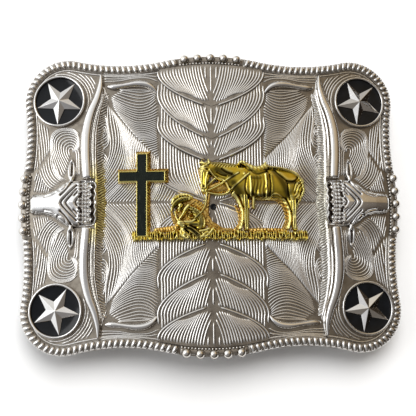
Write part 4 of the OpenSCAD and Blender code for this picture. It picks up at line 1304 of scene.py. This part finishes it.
# Straps, reins and the bright edges: half width, height, then paths of (x, y, height of what they lie on)
HORSE_CORDS = (
    (0.36, 0.45, (
        ((8.6, 9.3, 3.0), (6.2, 7.9, 2.7), (3.6, 6.2, 2.0), (1.0, 4.7, 1.5), (-1.9, 3.4, 1.4)),
        ((12.0, 9.0, 3.4), (9.2, 6.6, 3.0), (6.8, 4.4, 2.5), (5.2, 2.6, 1.9)),
        ((-2.0, 3.0, 1.3), (1.6, 2.3, 1.3), (4.2, 2.4, 1.6), (5.8, 3.8, 2.2)),
        ((1.2, 7.7, 2.2), (4.2, 6.4, 2.2), (5.6, 3.6, 2.2)),
        ((1.2, 7.7, 2.2), (-1.2, 5.5, 1.6), (-1.9, 3.6, 1.4)),
        ((17.6, 9.0, 3.1), (17.8, 6.0, 3.1), (17.9, 3.0, 3.0), (17.7, 1.2, 2.6)),
        ((12.5, 8.0, 3.2), (12.7, 5.0, 3.2), (12.6, 1.6, 2.8)),
    )),
    (0.28, 0.3, (
        ((18.6, 11.4, 2.5), (21.0, 11.2, 2.6), (23.5, 10.9, 2.6), (26.5, 9.8, 2.5), (28.9, 7.9, 2.3),
         (30.2, 5.2, 2.1), (30.2, 2.4, 1.8)),
        ((-0.9, 10.3, 2.6), (0.1, 8.8, 2.5), (1.2, 7.7, 2.3)),
        ((-3.4, 4.3, 2.1), (-3.6, 7.2, 2.3), (-3.3, 10.2, 2.4)),
        ((-2.3, 4.4, 2.3), (-2.1, 7.0, 2.5), (-1.5, 9.4, 2.7)),
        ((-0.8, 13.1, 2.4), (-2.6, 12.6, 2.4), (-4.1, 12.9, 1.8)),
        ((-0.9, 12.5, 2.6), (-2.6, 11.6, 2.6), (-4.0, 11.2, 1.9)),
        ((-0.9, 12.9, 2.4), (-1.3, 13.8, 2.0)),
        ((14.4, 0.8, 1.5), (16.4, 0.7, 1.5), (18.6, 1.0, 1.5)),
        ((18.8, 1.1, 1.6), (20.8, 2.3, 1.9), (23.5, 0.8, 1.7), (25.2, -2.2, 1.6), (25.7, -5.8, 1.6),
         (25.1, FOOT, 1.6)),
        ((7.0, 3.0, 1.8), (8.6, 0.4, 1.7), (9.8, -3.0, 1.6), (9.9, -6.0, 1.6), (9.2, FOOT, 1.6)),
    )),
)
# Engraved grooves, as paths of (x, y)
HORSE_GROOVES = (
    ((20.4, 10.9), (22.2, 8.8), (24.6, 6.6)), ((24.6, 6.6), (26.6, 6.4), (28.0, 7.2), (28.5, 8.6)),
    ((1.6, 9.4), (3.0, 8.6), (4.6, 8.2)), ((3.2, 10.6), (4.8, 9.4), (6.6, 8.8)),
    ((24.9, 5.6), (25.1, 3.0), (25.6, 0.4)), ((-1.9, 10.5), (-1.5, 10.4)), ((-3.2, 4.9), (-2.2, 4.7)),
    ((9.0, 11.6), (11.6, 11.2), (14.6, 8.7), (18.2, 9.8)), ((11.2, 7.6), (10.8, 3.6), (12.4, 0.9)),
    ((19.0, 8.6), (19.4, 5.0), (18.9, 1.4)),
)
# Folds and hair: middle, half sizes, distance apart, turn in degrees, bend, depth
HORSE_FOLDS = (
    ((15.4, 4.4), (3.4, 4.2), 1.1, 4, 0.35, 0.13), ((10.9, -3.6), (1.4, 6.6), 0.8, 0, 0.05, 0.26),
    ((26.9, -4.0), (1.3, 5.6), 0.85, 0, 0.05, 0.14), ((28.6, 3.8), (1.9, 3.8), 1.0, -40, 0.5, 0.2),
    ((4.2, 12.2), (4.8, 1.2), 0.8, -30, 0.1, 0.16), ((8.2, -5.0), (1.6, 4.6), 1.0, 70, 0.1, 0.2),
    ((23.6, -4.0), (1.7, 5.6), 1.0, 60, 0.1, 0.2), ((18.0, -9.3), (6.0, 1.2), 1.1, 10, 0.1, 0.2),
    ((-2.4, 12.2), (1.8, 1.6), 0.7, 70, 0.3, 0.22), ((9.6, 12.4), (1.8, 1.2), 0.9, 20, 0.3, 0.25),
    ((15.6, 11.6), (4.0, 1.6), 1.15, 10, 0.4, 0.16), ((22.6, 11.2), (4.4, 0.8), 0.7, 20, 0.1, 0.2),
)
# Painted shade: dark patches in the hollows and creases, under the belly and down the legs: half width,
# depth, path
HORSE_SHADES = (
    (1.5, 0.9, ((1.4, 10.6), (3.8, 9.5), (6.6, 8.3))), (1.6, 0.8, ((6.9, 6.0), (8.0, 3.8), (9.3, 1.8))),
    (1.1, 0.85, ((12.6, 2.2), (16.0, 1.6), (19.6, 2.2))), (1.9, 0.5, ((14.5, 7.4), (14.7, 3.2))),
    (1.3, 0.65, ((19.3, 8.0), (19.5, 3.4))),
    (1.5, 0.85, ((20.6, 9.9), (22.4, 7.4), (23.9, 4.6), (25.0, 2.0))),
    (0.9, 0.9, ((24.4, 6.1), (27.4, 6.2))), (0.6, 0.7, ((11.2, 1.4), (11.2, -8.4))),
    (0.6, 0.6, ((27.9, 0.4), (27.9, -8.4))), (0.9, 0.6, ((-1.3, 5.4), (-0.9, 8.8))),
    (1.0, 0.5, ((12.4, 10.2), (15.0, 9.0), (17.6, 10.0))),
)
# Above this height the relief is pressed flatter
FLAT_FROM = 2.9
# The knot where the straps cross: its place, height and radius
KNOT_X, KNOT_Y, KNOT_UP, KNOT_R = 10.6, 8.9, 0.6, 0.5


def ripples(high, x, y, folds):
    """Adds folds side by side inside ovals with soft rims."""
    for middle, half, wave, turn, bend, depth in folds:
        away = np.hypot((x - middle[0]) / half[0], (y - middle[1]) / half[1])
        share = np.clip((1 - away) / 0.25, 0, 1) * (high > 0.1)
        a = math.radians(turn)
        along, across = x * math.cos(a) + y * math.sin(a), y * math.cos(a) - x * math.sin(a)
        high = high + share * depth * np.sin(2 * math.pi * (along + bend * np.sin(0.9 * across)) / wave)
    return high


def pressed(high):
    """The relief with its highest places flattened."""
    return np.where(high > FLAT_FROM, FLAT_FROM + (high - FLAT_FROM) * 0.5, high)


def horse_height(x, y):
    """Height of the standing horse with its saddle and reins above the face."""
    high = union(x, y, list(HORSE.values()), 0.35)
    high = blend_max(high, union(x, y, SADDLE, 0.15, 3.0), 0.1)
    high = np.maximum(high, union(x, y, HORSE_LOW, 0.1, 4.0))
    high = ripples(high, x, y, HORSE_FOLDS)
    high = cut(high, x, y, HORSE_GROOVES, 0.24, 0.45)
    for half, up, paths in HORSE_CORDS:
        high = cord_on(high, x, y, paths, half, up)
    knot = np.hypot(x - KNOT_X, y - KNOT_Y)
    return pressed(high + KNOT_UP * np.exp(-((knot / KNOT_R) ** 2)))


# The kneeling rider, with the same kinds of rows, cords, grooves, folds and painted shade as the horse
RIDER = {
    "back": ((-7.7, -2.0, 0.8, 2.8), (-6.2, -2.9, 1.2, 3.0), (-4.9, -4.2, 1.6, 3.1), (-4.1, -5.9, 1.8, 3.0),
             (-3.8, -7.6, 1.8, 2.9), (-4.6, -9.0, 1.4, 2.6)),
    "head": ((-10.5, -1.2, 1.2, 2.3), (-10.9, -2.4, 0.95, 2.2), (-11.1, -3.4, 0.5, 2.0)),
    "hat_brim": ((-13.3, -3.0, 0.3, 2.2), (-12.6, -1.4, 0.6, 2.4), (-11.0, 0.0, 0.9, 2.6),
                 (-9.2, 0.5, 0.9, 2.7), (-7.5, 0.6, 0.5, 2.6)),
    "hat_crown": ((-13.2, -0.6, 0.5, 1.8), (-12.4, 0.9, 0.9, 2.0), (-10.6, 1.7, 1.0, 2.2),
                  (-8.6, 1.8, 1.0, 2.2), (-7.0, 1.3, 0.8, 2.1)),
    "arm": ((-7.9, -1.7, 1.0, 3.1), (-8.9, -2.9, 1.05, 3.1), (-9.7, -4.4, 0.85, 2.9),
            (-10.8, -5.9, 0.65, 2.6)),
    "thigh": ((-10.5, -7.5, 1.35, 3.2), (-8.6, -7.6, 1.2, 3.0), (-6.4, -7.5, 1.4, 2.9),
              (-4.8, -7.6, 1.6, 2.9)),
    "shin": ((-10.3, -8.0, 0.85, 2.7), (-10.0, -9.6, 0.75, 2.5), (-9.4, -11.0, 1.0, 2.5),
             (-8.1, -11.8, 0.8, 2.4)),
    "kneeling": ((-9.0, -8.3, 0.9, 2.5), (-6.8, -9.6, 1.3, 2.5), (-4.4, -11.2, 1.0, 2.4)),
    "boot": ((-4.0, -10.2, 0.9, 2.2), (-1.8, -9.9, 1.0, 2.2), (0.2, -9.5, 0.8, 2.0)),
}
RIDER_LOW = (
    ((-13.4, -3.6, 0.4, 1.05), (-12.9, -5.2, 0.6, 1.0), (-12.1, -7.0, 0.7, 1.0)),
    ((-9.4, -0.8, 1.2, 1.3), (-10.2, -2.6, 1.9, 1.2), (-9.8, -4.4, 1.6, 1.1)),
    ((-7.2, -3.4, 1.2, 1.1), (-7.4, -4.6, 1.4, 1.1)),
    ((-11.2, -4.0, 0.9, 1.1), (-9.6, -5.4, 1.3, 1.1), (-7.6, -5.4, 1.6, 1.1), (-6.2, -4.6, 1.2, 1.1)),
    ((-7.6, 0.2, 1.2, 1.1), (-5.8, -0.4, 1.3, 1.1), (-3.9, -1.4, 1.2, 1.1), (-2.7, -3.0, 0.9, 1.1),
     (-2.2, -5.0, 0.8, 1.1)),
    ((-0.9, 2.6, 0.4, 1.0), (-1.3, 0.2, 0.5, 1.0), (-1.7, -2.4, 0.6, 1.0), (-1.7, -4.4, 0.7, 1.05)),
    ((-1.4, -5.4, 0.8, 1.1), (-0.9, -7.2, 1.2, 1.1), (0.8, -8.6, 1.4, 1.1), (2.5, -9.3, 1.1, 1.0)),
    ((-18.4, -9.3, 0.8, 1.0), (-15.0, -9.1, 1.0, 1.0), (-12.2, -8.8, 1.2, 1.05), (-11.4, -7.8, 0.9, 1.05)),
)
RIDER_CORDS = (
    (0.55, 0.4, (
        ((-7.9, -1.6, 2.9), (-8.8, -2.7, 2.9), (-9.3, -3.7, 2.8)), ((-9.6, -9.2, 2.5), (-9.2, -10.6, 2.4)),
    )),
    (0.95, 0.6, (((-10.7, -7.2, 2.9), (-9.9, -7.7, 3.0)), ((-8.9, -11.0, 2.4), (-8.1, -11.7, 2.4)))),
    (0.38, 0.4, (
        ((-9.2, -3.5, 2.8), (-9.8, -4.5, 2.7), (-10.8, -5.9, 2.5)),
        ((-11.0, -6.9, 2.8), (-9.0, -6.9, 2.8), (-6.8, -6.8, 2.8), (-5.9, -6.2, 2.8)),
    )),
    (0.26, 0.4, (
        ((-1.8, 3.0, 1.4), (-2.0, 1.4, 1.4), (-2.3, -1.1, 1.6), (-3.4, -3.3, 2.4), (-4.6, -4.6, 3.0),
         (-5.7, -5.5, 2.9)),
        ((-12.3, -3.4, 2.0), (-11.9, -5.2, 2.0), (-11.3, -6.5, 2.3)),
        ((-13.5, -3.3, 2.2), (-12.9, -1.2, 2.4), (-11.2, 0.5, 2.6), (-9.3, 1.1, 2.7), (-7.3, 1.0, 2.6)),
    )),
    (0.46, 0.4, (
        ((-4.1, -9.9, 2.2), (-2.4, -9.6, 2.2), (-1.2, -9.1, 2.2)), ((-3.0, -10.9, 2.2), (-1.7, -10.2, 2.2)),
        ((-1.6, -11.1, 2.1), (-0.7, -10.2, 2.1), (0.2, -9.0, 2.0)), ((-3.6, -11.6, 2.2), (-1.2, -11.4, 2.1)),
    )),
    (0.34, 0.35, (
        ((-9.4, -8.5, 2.6), (-7.2, -10.0, 2.6), (-4.9, -11.6, 2.4)),
        ((-8.0, -8.4, 2.6), (-6.2, -9.4, 2.6), (-4.3, -10.9, 2.4)),
        ((-10.5, -9.8, 2.4), (-9.9, -11.6, 2.4), (-8.2, -12.4, 2.3)),
        ((-9.2, -10.6, 2.4), (-7.6, -11.6, 2.3)),
    )),
)
# Brow, mouth and cheek of the calm, plain face, and the folds of the coat
RIDER_GROOVES = (
    ((-11.6, -1.9), (-11.1, -1.8)), ((-11.5, -2.9), (-11.1, -2.9)), ((-10.3, -2.1), (-10.5, -3.1)),
    ((-7.3, -2.4), (-5.6, -2.9), (-4.0, -4.4)), ((-6.9, -3.2), (-5.4, -3.9), (-4.4, -5.4)),
    ((-6.4, -4.0), (-5.2, -4.9), (-4.7, -6.2)), ((-3.2, -5.4), (-2.9, -7.0), (-3.3, -8.8)),
    ((-9.6, -8.7), (-8.2, -8.3), (-6.8, -8.3)), ((-6.4, -8.7), (-4.8, -9.4), (-3.4, -9.8)),
)
RIDER_FOLDS = (
    ((-10.0, 1.8), (4.0, 1.6), 0.9, 10, 0.2, 0.2), ((-10.0, 1.8), (4.0, 1.6), 0.9, 95, 0.2, 0.15),
    ((-15.0, -9.1), (4.0, 1.2), 0.9, 20, 0.1, 0.15), ((0.4, -8.0), (3.0, 2.4), 0.9, 50, 0.4, 0.15),
    ((-4.2, -1.4), (3.4, 2.0), 0.8, -50, 0.1, 0.12), ((-8.6, -5.2), (2.4, 1.4), 0.8, 60, 0.4, 0.12),
)
# Painted shade under the hat's brim and in the creases of the coat and legs: half width, depth, path
RIDER_SHADES = (
    (0.75, 0.9, ((-12.7, -1.9), (-11.7, -0.6), (-10.3, 0.1), (-8.5, 0.3))),
    (1.2, 0.7, ((-6.6, -2.9), (-5.2, -3.9), (-4.3, -5.4), (-3.9, -7.4))),
    (0.8, 1.0, ((-9.2, -9.1), (-7.4, -9.1), (-5.9, -10.3), (-5.0, -11.2))),
    (0.5, 0.9, ((-7.4, -7.7), (-5.2, -7.7))),
)
# The hand that holds the rope, a ring round a small hole, and the buckle on the front foot
HAND, HAND_R, FOOT_DOT = (-7.1, -4.8), 0.7, (-8.7, -11.6)


def rider_height(x, y):
    """Height of the kneeling rider, with hat and rope, above the face."""
    high = union(x, y, list(RIDER.values()), 0.12)
    high = np.maximum(high, union(x, y, RIDER_LOW, 0.1, 4.0))
    high = ripples(high, x, y, RIDER_FOLDS)
    high = cut(high, x, y, RIDER_GROOVES, 0.2, 0.4)
    for half, up, paths in RIDER_CORDS:
        high = cord_on(high, x, y, paths, half, up)
    hand, dot = (np.hypot(x - spot[0], y - spot[1]) for spot in (HAND, FOOT_DOT))
    high = high + 0.45 * np.exp(-(((hand - HAND_R) / 0.26) ** 2)) - 0.9 * np.exp(-((hand / 0.34) ** 2))
    return pressed(high - 0.6 * np.exp(-((dot / 0.25) ** 2)))


# The cross: its top and foot, its arm's height and length, and the widths of its rim and skirt
CROSS_TOP, CROSS_FOOT, ARM_Y, ARM_L, RIM_W, SKIRT_W = 15.6, -11.2, 8.3, 14.6, 0.38, 1.2
# The rim's narrow sides fall this many times more steeply than its wide ones
NARROW = 4.5
# The pitches of the skirt's hatching and of the strip's grass
SKIRT_PITCH, BLADE_PITCH = 0.95, 0.86


def cross_rim_height(x, y):
    """A rim round the enamel with a hatched skirt to its right and above it."""
    def off(left, right, bottom, top):
        steep = [np.where(v > RIM_W, RIM_W + (v - RIM_W) * NARROW, v) for v in (left - x, bottom - y)]
        return np.maximum.reduce((*steep, x - right, y - top))

    half = CROSS_W / 2
    away = np.minimum(
        off(CROSS_X - half, CROSS_X + half, CROSS_FOOT, CROSS_TOP),
        off(CROSS_X - ARM_L / 2, CROSS_X + ARM_L / 2, ARM_Y - half, ARM_Y + half),
    )
    rim = CROSS_H - 0.25 + 0.25 * np.sin(math.pi * np.clip(away / RIM_W, 0, 1))
    fall = (away - RIM_W) / SKIRT_W
    skirt = 1.5 - 1.3 * fall + 0.2 * np.sin(2 * math.pi * (x + y) / SKIRT_PITCH)
    high = np.where(away < RIM_W, rim, np.where(fall < 1, skirt, -1.0))
    return np.where(away < 0, CROSS_H - 0.25 + away * 15, high)


def grass_height(x, y):
    """The strip's grass: upright blades of uneven width, with their tips along its top."""
    lean = 0.2 * np.sin(2.7 * x) + 0.12 * np.sin(4.3 * x + 1.0)
    blade = 2 * math.pi * (x + 0.25 * np.sin(1.3 * x) + lean * (y + 11)) / BLADE_PITCH
    tip = STRIP_TOP + 0.35 * np.sin(blade + 0.6) + 0.3 * np.sin(0.9 * x)
    low = STRIP_BOTTOM - 0.1 - 0.3 * np.sin(blade + 0.9) - 0.2 * np.sin(1.7 * x)
    inside = np.minimum.reduce((x - STRIP_LEFT, STRIP_RIGHT - x, y - low, tip - y))
    high = STRIP_H - 0.4 + 0.55 * np.sin(blade) + 0.15 * np.sin(blade * 0.37 + 2 * y)
    high = np.where(inside > 0, np.minimum(high, 1.0 + inside * 6), inside * 6)
    cross = (np.abs(x - CROSS_X) < CROSS_W / 2 + RIM_W + 0.1) & (y > CROSS_FOOT - RIM_W)
    return np.where(cross, -1.0, high)


# The small dark peg hole behind the rider: its middle and its lip's radius
PEG_X, PEG_Y, PEG_R = 0.35, -1.6, 1.1


def peg_height(x, y):
    """A dimple with a raised lip."""
    away = np.hypot(x - PEG_X, y - PEG_Y)
    return 0.55 * np.clip((PEG_R - away) / 0.25, -1, 1) - 0.5 * np.exp(-((away / 0.6) ** 2))


def riding_scene():
    """The gold reliefs in the middle, and the peg hole."""
    relief("horse_relief", (-5.2, -10.6), (32.4, 15.2), 0.15, horse_height, GOLD, ("horse",),
           painted_shades=HORSE_SHADES)
    relief("rider_relief", (-19.6, -13.4), (4.4, 4.4), 0.12, rider_height, GOLD, ("rider",),
           painted_shades=RIDER_SHADES)
    relief("cross_rim", (-32.2, -12.4), (-13.6, 18.2), 0.12, cross_rim_height, GOLD,
           ("cross_frame",))
    relief("grass_strip", (STRIP_LEFT - 0.6, STRIP_BOTTOM - 1.2), (STRIP_RIGHT + 0.6, STRIP_TOP + 1.2), 0.1,
           grass_height, GOLD, ("ground_strip",))
    # Painted shade: the shallow dimple of the peg hole is given the black enamel, so that it looks like a
    # dark hole
    relief("peg_dimple", (-1.1, -3.0), (1.8, -0.2), 0.1, peg_height, BLACK)


# Camera, floor and light

def stand():
    """The pale floor."""
    floor = bpy.data.meshes.new("floor")
    floor.from_pydata([(-2, -2, 0), (2, -2, 0), (2, 2, 0), (-2, 2, 0)], [], [(0, 1, 2, 3)])
    paper = Finish("white_paper", Roughness=0.9)
    paper.colour(paper.clouds(60.0, (0.3, (0.86, 0.865, 0.87)), (0.7, (0.88, 0.885, 0.89))))
    floor.materials.append(paper.material)
    ground = bpy.data.objects.new("floor", floor)
    bpy.context.scene.collection.objects.link(ground)


# The camera, fitted to the layout: its place over the crown, its turns in degrees and its focal length
CAMERA_X, CAMERA_Y, CAMERA_UP = -13.57, -41.29, 245.19
CAMERA_TURNS, FOCAL = (("Z", 0.2), ("Y", 2.8), ("X", -9.1)), 65.5


def look():
    """The camera, which sees the buckle as it lies in the layout."""
    lens = bpy.data.cameras.new("camera")
    lens.lens = FOCAL
    lens.sensor_width = 36.0
    lens.clip_start = 0.01
    camera = bpy.data.objects.new("camera", lens)
    bpy.context.scene.collection.objects.link(camera)
    turn = Matrix.Identity(3)
    for axis, degrees in CAMERA_TURNS:
        turn = turn @ Matrix.Rotation(math.radians(degrees), 3, axis)
    place = Vector((CAMERA_X, CAMERA_Y, CROWN + CAMERA_UP)) * MM
    camera.matrix_world = Matrix.Translation(place) @ turn.transposed().to_4x4()
    bpy.context.scene.camera = camera


def soft_light(name, place, size, power, glossy=True):
    """A round white lamp that looks at the buckle; without glossy it lights only what isn't metal."""
    light = bpy.data.lights.new(name, "AREA")
    light.shape = "DISK"
    light.size = size
    light.energy = power
    lamp = bpy.data.objects.new(name, light)
    bpy.context.scene.collection.objects.link(lamp)
    lamp.location = place
    lamp.rotation_euler = (-Vector(place)).to_track_quat("-Z", "Y").to_euler()
    lamp.visible_glossy = glossy


# The room: its brightest side, its brightness from the far side to that one, how it darkens down to the
# horizon and to the front, where the window outshines both, and a beige wall at the upper right
WINDOW = (-0.9, 0.15, 0.41)
ROOM_STOPS = (
    (-0.8, (0.10, 0.08, 0.06)), (-0.4, (0.24, 0.195, 0.15)), (-0.1, (0.60, 0.55, 0.48)),
    (0.2, (0.70, 0.67, 0.63)), (0.5, (0.82, 0.81, 0.79)), (0.75, (1.0, 1.0, 1.0)), (1.0, (1.3, 1.32, 1.33)),
)
HORIZON_STOPS = ((0.0, (0.10, 0.09, 0.08)), (0.12, (0.16, 0.14, 0.12)), (0.3, (0.5, 0.48, 0.46)),
                 (0.5, (1.0, 1.0, 1.0)))
FRONT_STOPS = ((-0.3, (0.31, 0.305, 0.31)), (0.04, (0.41, 0.40, 0.405)), (0.24, (0.80, 0.79, 0.78)),
               (0.4, (0.93, 0.93, 0.93)), (1.0, (1.0, 1.0, 1.0)))
WINDOW_FROM, WINDOW_FULL, BRIGHT_FROM, BRIGHT_FULL = 0.3, 0.8, 0.7, 0.95
WALL_AT, WALL_FROM, WALL_FULL, WALL_TINT = (0.55, 0.5, 0.67), 0.84, 0.93, (0.95, 0.82, 0.62)


def studio():
    """A pale room: bright on the left, beige on the right, dark towards the horizon."""
    world = bpy.data.worlds.new("studio")
    bpy.context.scene.world = world
    world.use_nodes = True
    tree = world.node_tree
    where = add_node(tree, "ShaderNodeTexCoord", output="Generated")
    white = (1.0, 1.0, 1.0)

    def towards(direction, low, high):
        """How far a direction lies towards another one, from 0 at low to 1 at high."""
        ways = {0: where, 1: direction}
        dot = add_node(tree, "ShaderNodeVectorMath", ways, "Value", operation="DOT_PRODUCT")
        return add_node(tree, "ShaderNodeMapRange", {"Value": dot, "From Min": low, "From Max": high})

    def ramp(direction, stops):
        """Colours from one side of the room to the other."""
        low, high = stops[0][0], stops[-1][0]
        even = [((place - low) / (high - low), colour) for place, colour in stops]
        return colour_ramp(tree, towards(direction, low, high), even)

    window = towards(WINDOW, WINDOW_FROM, WINDOW_FULL)
    horizon = mixed(tree, window, ramp((0, 0, 1), HORIZON_STOPS), white)
    front = mixed(tree, towards(WINDOW, BRIGHT_FROM, BRIGHT_FULL), ramp((0, 1, 0), FRONT_STOPS), white)
    room = mixed(tree, 1.0, ramp(WINDOW, ROOM_STOPS), horizon, "MULTIPLY")
    room = mixed(tree, 1.0, room, front, "MULTIPLY")
    room = mixed(tree, towards(WALL_AT, WALL_FROM, WALL_FULL), room, WALL_TINT, "MULTIPLY")
    tree.links.new(room, tree.nodes["Background"].inputs["Color"])
    soft_light("key", (0.05, 0.36, 0.7), 0.6, 6.5, glossy=False)
    soft_light("left_box", (-0.5, 0.1, 0.55), 0.3, 0.6)
    bpy.context.scene.view_settings.view_transform = "Standard"


look()
stand()
studio()

# The CAD nodes that stay in sight
dress("plate", GROUND)
# Painted light: the upper tiers get the paler copy of the patina and the lower tiers the plate's darker one,
# so that the upper half looks brighter
for i in (1, 2, 3):
    dress(f"upper_tier_{i}", TIER_GROUND)
    dress(f"lower_tier_{i}", GROUND)
for name in CORNERS:
    dress("bezel_" + name, SMOOTH)
dress("cross_enamel", GREEN)
dress("belt_loop", PLAIN)
dress("hook_post", PLAIN)

engrave()
for name, (sx, sy) in CORNERS.items():
    rope_quarter(name, sx, sy)
    enamel_pool(name, sx, sy)
    star(name)
for name, (upright, side) in BEAD_ROWS.items():
    bead_row(name, upright, side)
horns_and_scrolls()
heads()
riding_scene()
